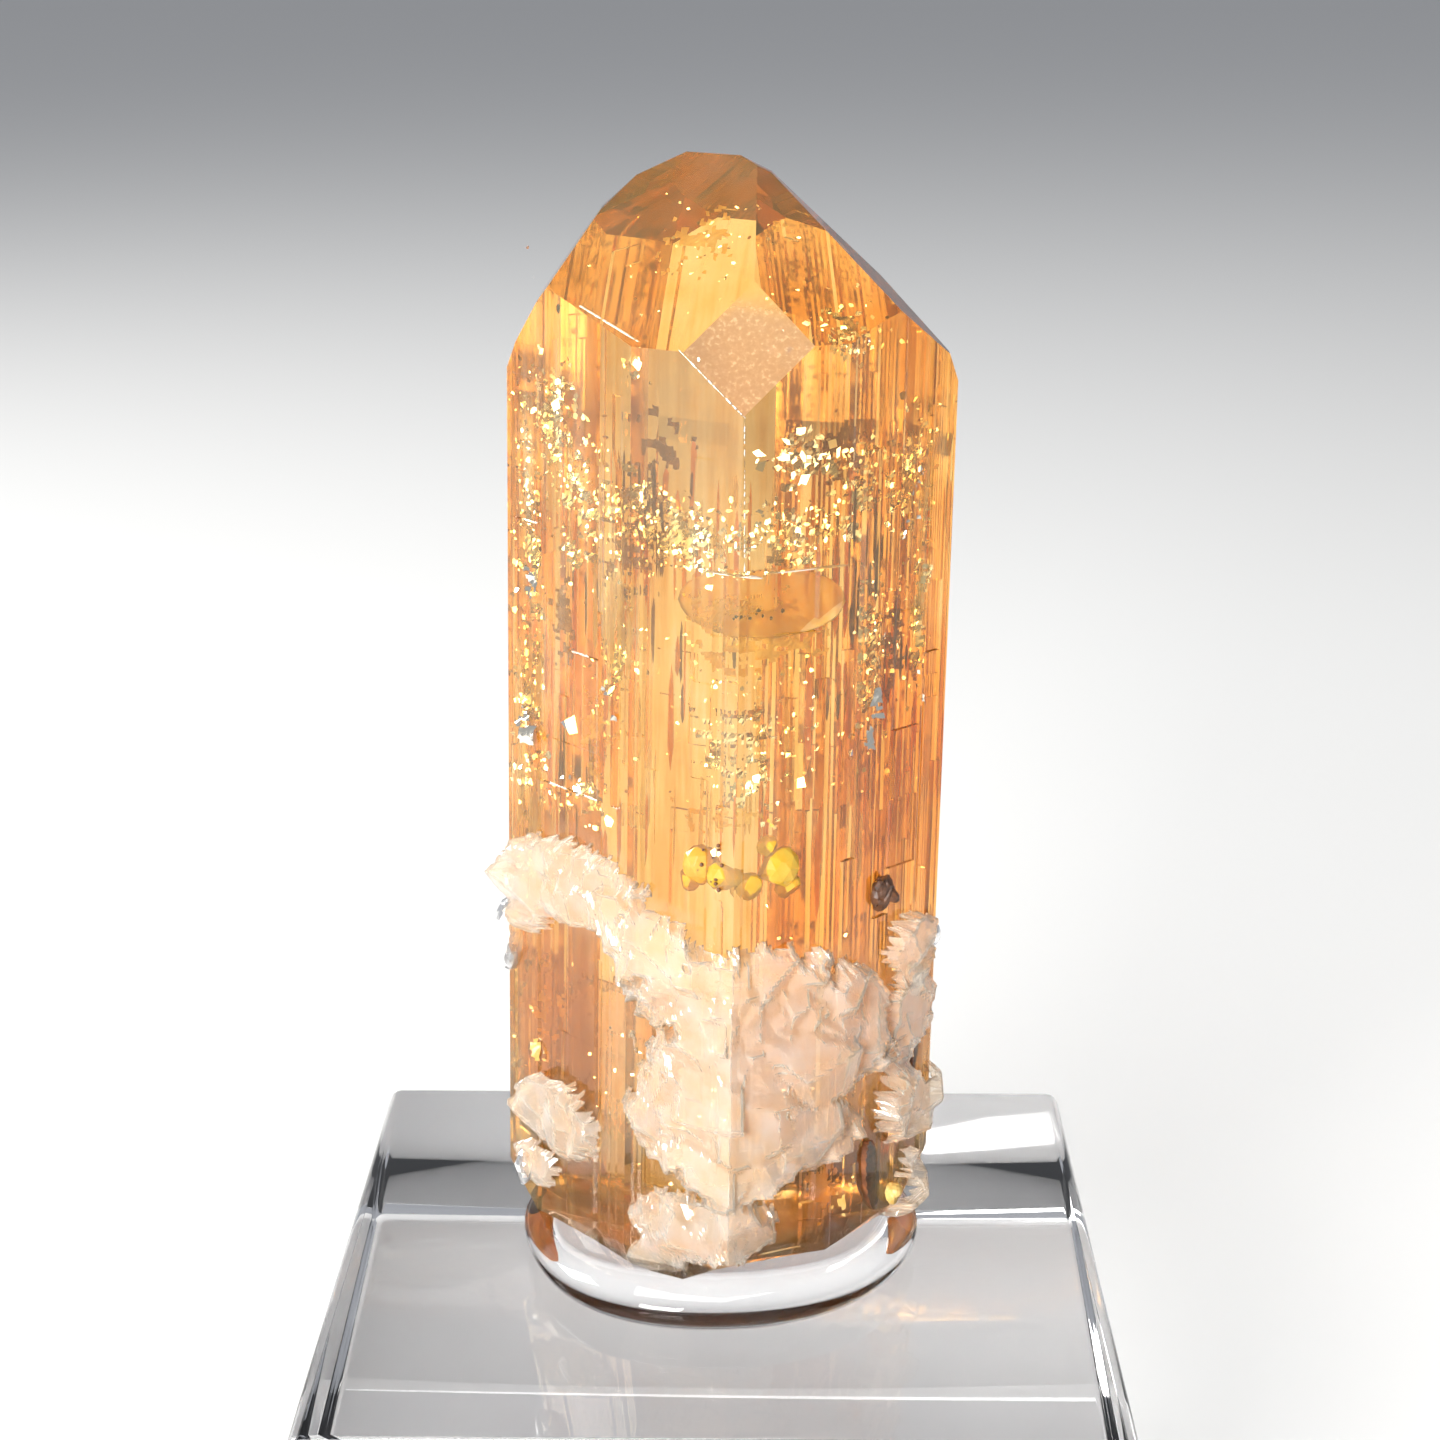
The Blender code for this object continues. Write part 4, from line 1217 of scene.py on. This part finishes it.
class SPECIMEN_OT_veils(bpy.types.Operator):
    """Set the level crack, the golden veil below it, the specks, and the pale lumps along edges that paint their
    highlights
    """

    bl_idname = "specimen.veils"
    bl_label = "Crack and Veil"

    def execute(self, context):
        chance = random.Random(41)
        stand = stand_up_matrix()
        golden = glassy_material("golden veil", (1.0, 0.72, 0.25), 1.15, 0.3, 0.8, (1.0, 0.82, 0.45), 0.4)
        pale = glassy_material("pale crack and painted edge highlight", (1.0, 0.95, 0.88), 1.3, 0.2, 0.3, (1.0, 0.85, 0.7))
        speck = mineral_material("dark speck", (0.03, 0.015, 0.01), (0.12, 0.06, 0.03), 0.6, 3000)
        ball = as_shape(chipped_ball(chance, 3, 0))
        lump = as_shape(chipped_ball(chance, 1, 4))
        copies = []
        lean = Matrix.Rotation(math.radians(-35), 4, "X")
        place = front_place(1.9 * MM, 29.6 * MM, 1.6 * MM)
        copies.append((ball, stand @ Matrix.Translation(place) @ lean @ sizing(3.1 * MM, 0.10 * MM, 1.5 * MM), 0))
        for x, half in ((0.7 * MM, 1.3 * MM), (3.0 * MM, 1.3 * MM), (4.4 * MM, 0.7 * MM)):
            place = front_place(x, 30.95 * MM, 0.35 * MM)
            side = Matrix.Rotation(math.radians(-28 if x < 1 * MM else 28), 4, "Z")
            copies.append((ball, stand @ Matrix.Translation(place) @ side @ sizing(half, 0.3 * MM, 0.035 * MM), 1))
        # Pale lumps just under the surface along edges: painted highlight where the edges catch light
        for start_x, start_height, end_x, end_height in PAINTED_EDGE_HIGHLIGHTS:
            for step in range(26):
                share = (step + chance.uniform(-0.4, 0.4)) / 25
                x = (start_x + (end_x - start_x) * share) * MM
                height = (start_height + (end_height - start_height) * share) * MM
                place = front_place(x, height, 0.03 * MM)
                tall = Matrix.Rotation(math.atan2(end_x - start_x, end_height - start_height), 4, "Y")
                wide = chance.uniform(0.025, 0.06) * MM
                copies.append((lump, stand @ Matrix.Translation(place) @ tall
                               @ sizing(wide, wide, chance.uniform(0.08, 0.2) * MM), 1))
        for _ in range(9):
            place = front_place(chance.uniform(0.8, 2.6) * MM, chance.gauss(29.3, 0.12) * MM, 0.5 * MM)
            size = chance.uniform(0.05, 0.1) * MM
            copies.append((lump, stand @ Matrix.Translation(place) @ sizing(size, size, size), 2))
        for x, height, size, tall in ((-6.1, 40.0, 0.12, 0.22), (5.3, 10.6, 0.1, 0.3), (-6.9, 30.4, 0.06, 0.12)):
            place = front_place(x * MM, height * MM, 0.15 * MM)
            copies.append((lump, stand @ Matrix.Translation(place) @ sizing(size * MM, size * MM, tall * MM), 2))
        joined_copies("crack_and_veil", copies, [golden, pale, speck], smooth=True)
        return {"FINISHED"}


class SPECIMEN_OT_golden_patch(bpy.types.Operator):
    """Set the bright yellow lumps above the crust and their specks"""

    bl_idname = "specimen.golden_patch"
    bl_label = "Golden Patch"

    def execute(self, context):
        chance = random.Random(43)
        stand = stand_up_matrix()
        yellow = glassy_material("yellow lump", (1.0, 0.74, 0.10), 1.5, 0.12, 0.6, (1.0, 0.62, 0.05), 0.5)
        orange = glassy_material("orange lump", (1.0, 0.52, 0.05), 1.5, 0.12, 0.6, (1.0, 0.68, 0.12), 0.5)
        speck = mineral_material("patch speck", (0.08, 0.03, 0.01), (0.2, 0.07, 0.02), 0.5, 3000)
        copies = []
        for x, height, size, tone in ((-0.2, 19.3, 0.85, 1), (-0.7, 18.6, 0.5, 1), (0.6, 19.0, 0.7, 0),
                                      (1.5, 18.6, 0.6, 0), (2.6, 19.2, 0.95, 0), (3.0, 18.4, 0.6, 0),
                                      (2.2, 20.1, 0.5, 0)):
            place = front_place(x * MM, height * MM, 0.35 * MM)
            shape = sizing(size * MM, 0.55 * size * MM, size * MM)
            copies.append((as_shape(chipped_ball(chance, 2, 6, 0.6)), stand @ Matrix.Translation(place) @ shape, tone))
        for _ in range(12):
            place = front_place(chance.gauss(0.1, 0.5) * MM, chance.gauss(19.2, 0.5) * MM, -0.1 * MM)
            size = chance.uniform(0.05, 0.11) * MM
            copies.append((as_shape(chipped_ball(chance, 1, 3)), stand @ Matrix.Translation(place)
                           @ sizing(size, size, size), 2))
        joined_copies("golden_patch", copies, [yellow, orange, speck])
        return {"FINISHED"}


class SPECIMEN_OT_mineral_grains(bpy.types.Operator):
    """Set the dark grain, the golden grain and the rusty fillings of the cavities"""

    bl_idname = "specimen.mineral_grains"
    bl_label = "Mineral Grains"

    def execute(self, context):
        chance = random.Random(47)
        brown = mineral_material("dark brown mineral", (0.02, 0.008, 0.004), (0.13, 0.05, 0.02), 0.45, 1600)
        golden = mineral_material("golden mineral", (0.45, 0.25, 0.05), (0.85, 0.62, 0.22), 0.35, 2200)
        rusty = mineral_material("rusty filling", (0.06, 0.018, 0.006), (0.26, 0.09, 0.03), 0.7, 1700)
        for name, settings, made, node in (("dark_grain", DARK_GRAIN, brown, "dark_mineral_grain"),
                                           ("golden_grain", GOLD_GRAIN, golden, "gold_mineral_grain")):
            turn, height, half_sizes, tilt = settings
            copies = []
            for _ in range(9):
                shape = as_shape(chipped_ball(chance, 2, 5, 0.6))
                shift = Vector([chance.uniform(-0.4, 0.4) * half for half in half_sizes])
                sizes = [half * chance.uniform(0.55, 0.8) for half in half_sizes]
                copies.append((shape, side_matrix(turn, height, tilt) @ Matrix.Translation(shift)
                               @ random_turn(chance) @ sizing(*sizes), 0))
            obj = joined_copies(name, copies, [made])
            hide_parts(node)
        copies = []
        for turn, height, half_sizes, tilt in PITS[:2]:
            shape = chipped_ball(chance, 4, 5, 0.85)
            places = get_places(shape)
            places[:, 1] = np.where(places[:, 1] > 0, -0.82 * places[:, 1], 1.04 * places[:, 1])
            places *= 1 + 0.05 * np.array([noise.noise(Vector(place) * 4) for place in places])[:, None]
            set_places(shape, places)
            copies.append((as_shape(shape), side_matrix(turn, height, tilt) @ sizing(*half_sizes), 0))
        joined_copies("rusty_fillings", copies, [rusty])
        return {"FINISHED"}


# The gel and the block

def gel_shape():
    bpy.ops.object.select_all(action="DESELECT")
    bpy.ops.mesh.primitive_uv_sphere_add(segments=96, ring_count=40, radius=1)
    obj = bpy.context.object
    ball = get_places(obj)
    turn = np.arctan2(ball[:, 1], ball[:, 0])
    wave = 1 + 0.02 * np.sin(3 * turn + 0.6) + 0.012 * np.sin(5 * turn)
    spread = np.hypot(ball[:, 0], ball[:, 1]) ** 0.75 * wave
    rise = np.sign(ball[:, 2]) * np.abs(ball[:, 2]) ** 0.75
    places = np.stack([spread * np.cos(turn) * 8.3 * MM, spread * np.sin(turn) * 7.8 * MM - 0.7 * MM,
                       rise * 1.5 * MM + 1.1 * MM + BLOCK_TOP], axis=1)
    set_places(obj, places)
    select_only(obj)
    bpy.ops.object.mode_set(mode="EDIT")
    bisect_off((0, 0, BLOCK_TOP - 0.03 * MM), (0, 0, -1))
    bpy.ops.object.mode_set(mode="OBJECT")
    return obj


class SPECIMEN_OT_mounting_gel(bpy.types.Operator):
    """Build the clear gel round the crystal's foot"""

    bl_idname = "specimen.mounting_gel"
    bl_label = "Mounting Gel"

    def execute(self, context):
        obj = name_piece(gel_shape(), "clear_gel")
        bpy.ops.object.shade_smooth()
        obj.data.materials.append(glassy_material("gel", (0.97, 0.98, 0.99), 1.45, 0.01))
        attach(obj, "root")
        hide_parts("mounting_gel")
        return {"FINISHED"}


class SPECIMEN_OT_display_block(bpy.types.Operator):
    """Build the clear polished block"""

    bl_idname = "specimen.display_block"
    bl_label = "Display Block"

    def execute(self, context):
        size = BLOCK_HIGH - BLOCK_LOW
        bpy.ops.object.select_all(action="DESELECT")
        bpy.ops.mesh.primitive_cube_add(size=1, location=(BLOCK_LOW + BLOCK_HIGH) / 2, scale=size)
        obj = name_piece(bpy.context.object, "clear_block")
        bpy.ops.object.transform_apply(location=True, rotation=True, scale=True)
        bevel = obj.modifiers.new("edges", "BEVEL")
        bevel.width = 0.55 * MM
        bevel.segments = 4
        bpy.ops.object.modifier_apply(modifier=bevel.name)
        bpy.ops.object.shade_smooth_by_angle(angle=math.radians(35))
        obj.data.materials.append(glassy_material("acrylic", (0.99, 0.99, 1.0), 1.49, 0.0))
        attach(obj, "root")
        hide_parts("display_block")
        return {"FINISHED"}


# The stage

def area_light(name, place, target, size, power, colour):
    data = bpy.data.lights.new(name, "AREA")
    data.shape = "RECTANGLE"
    data.size, data.size_y = size
    data.energy = power
    data.color = colour
    obj = bpy.data.objects.new(name, data)
    obj.location = place
    obj.rotation_euler = (Vector(target) - Vector(place)).to_track_quat("-Z", "Y").to_euler()
    bpy.context.scene.collection.objects.link(obj)
    return obj


class SPECIMEN_OT_stage(bpy.types.Operator):
    """Set the plain floor, the soft lights and the camera"""

    bl_idname = "specimen.stage"
    bl_label = "Stage"

    def execute(self, context):
        settings = context.scene.specimen_stage
        scene = context.scene
        bpy.ops.object.select_all(action="DESELECT")
        bpy.ops.mesh.primitive_plane_add(size=6, location=(0, 0, -0.05 * MM))
        floor = name_piece(bpy.context.object, "floor")
        made, tree, shader = new_material("floor", settings.floor_colour)
        shader.inputs["Base Color"].default_value = (*settings.floor_colour, 1)
        shader.inputs["Roughness"].default_value = 0.8
        floor.data.materials.append(made)
        world = bpy.data.worlds.new("room")
        world.use_nodes = True
        world.node_tree.nodes["Background"].inputs["Color"].default_value = (0.9, 0.93, 1.0, 1)
        world.node_tree.nodes["Background"].inputs["Strength"].default_value = settings.sky_strength
        scene.world = world
        target = (0, 0, 35 * MM)
        area_light("key", KEY_PLACE, target, (0.2, 0.2), settings.key_power, (1, 0.98, 0.95))
        area_light("top", (-0.05, 0.02, 0.55), target, (0.3, 0.3), 0.35 * settings.key_power, (1, 0.99, 0.97))
        area_light("side", (-0.34, 0.12, 0.30), target, (0.15, 0.2), 0.35 * settings.key_power, (1, 0.99, 0.97))
        data = bpy.data.cameras.new("camera")
        data.lens = CAMERA_LENS
        data.sensor_width = 36
        data.clip_start = 1 * MM
        data.clip_end = 20
        camera = bpy.data.objects.new("camera", data)
        camera.location = CAMERA_PLACE
        camera.rotation_euler = (math.pi / 2 - CAMERA_PITCH, 0, CAMERA_YAW)
        scene.collection.objects.link(camera)
        scene.camera = camera
        scene.view_settings.view_transform = "Standard"
        scene.cycles.use_denoising = True
        scene.cycles.max_bounces = 16
        scene.cycles.transmission_bounces = 16
        return {"FINISHED"}


class VIEW3D_PT_specimen(bpy.types.Panel):
    """Lists the sizes and the building steps."""

    bl_label = "Specimen"
    bl_idname = "VIEW3D_PT_specimen"
    bl_space_type = "VIEW_3D"
    bl_region_type = "UI"
    bl_category = "Specimen"

    def draw(self, context):
        for group in (context.scene.specimen_crystal, context.scene.specimen_stage):
            box = self.layout.box()
            for key in group.__annotations__:
                box.prop(group, key)
        for step in STEPS:
            self.layout.operator(f"specimen.{step}")


STEPS = ("stage", "display_block", "mounting_gel", "topaz_crystal", "sugary_crust", "knobs", "glitter",
         "fractures", "streaks", "veils", "golden_patch", "mineral_grains")
CLASSES = (
    CrystalSettings,
    StageSettings,
    SPECIMEN_OT_topaz_crystal,
    SPECIMEN_OT_sugary_crust,
    SPECIMEN_OT_knobs,
    SPECIMEN_OT_glitter,
    SPECIMEN_OT_fractures,
    SPECIMEN_OT_streaks,
    SPECIMEN_OT_veils,
    SPECIMEN_OT_golden_patch,
    SPECIMEN_OT_mineral_grains,
    SPECIMEN_OT_mounting_gel,
    SPECIMEN_OT_display_block,
    SPECIMEN_OT_stage,
    VIEW3D_PT_specimen,
)


def register():
    for item in CLASSES:
        bpy.utils.register_class(item)
    bpy.types.Scene.specimen_crystal = PointerProperty(type=CrystalSettings)
    bpy.types.Scene.specimen_stage = PointerProperty(type=StageSettings)


def unregister():
    del bpy.types.Scene.specimen_stage
    del bpy.types.Scene.specimen_crystal
    for item in reversed(CLASSES):
        bpy.utils.unregister_class(item)


def main():
    register()
    zone_group()
    growth_streaks_group()
    for step in STEPS:
        getattr(bpy.ops.specimen, step)()


if __name__ == "__main__":
    main()
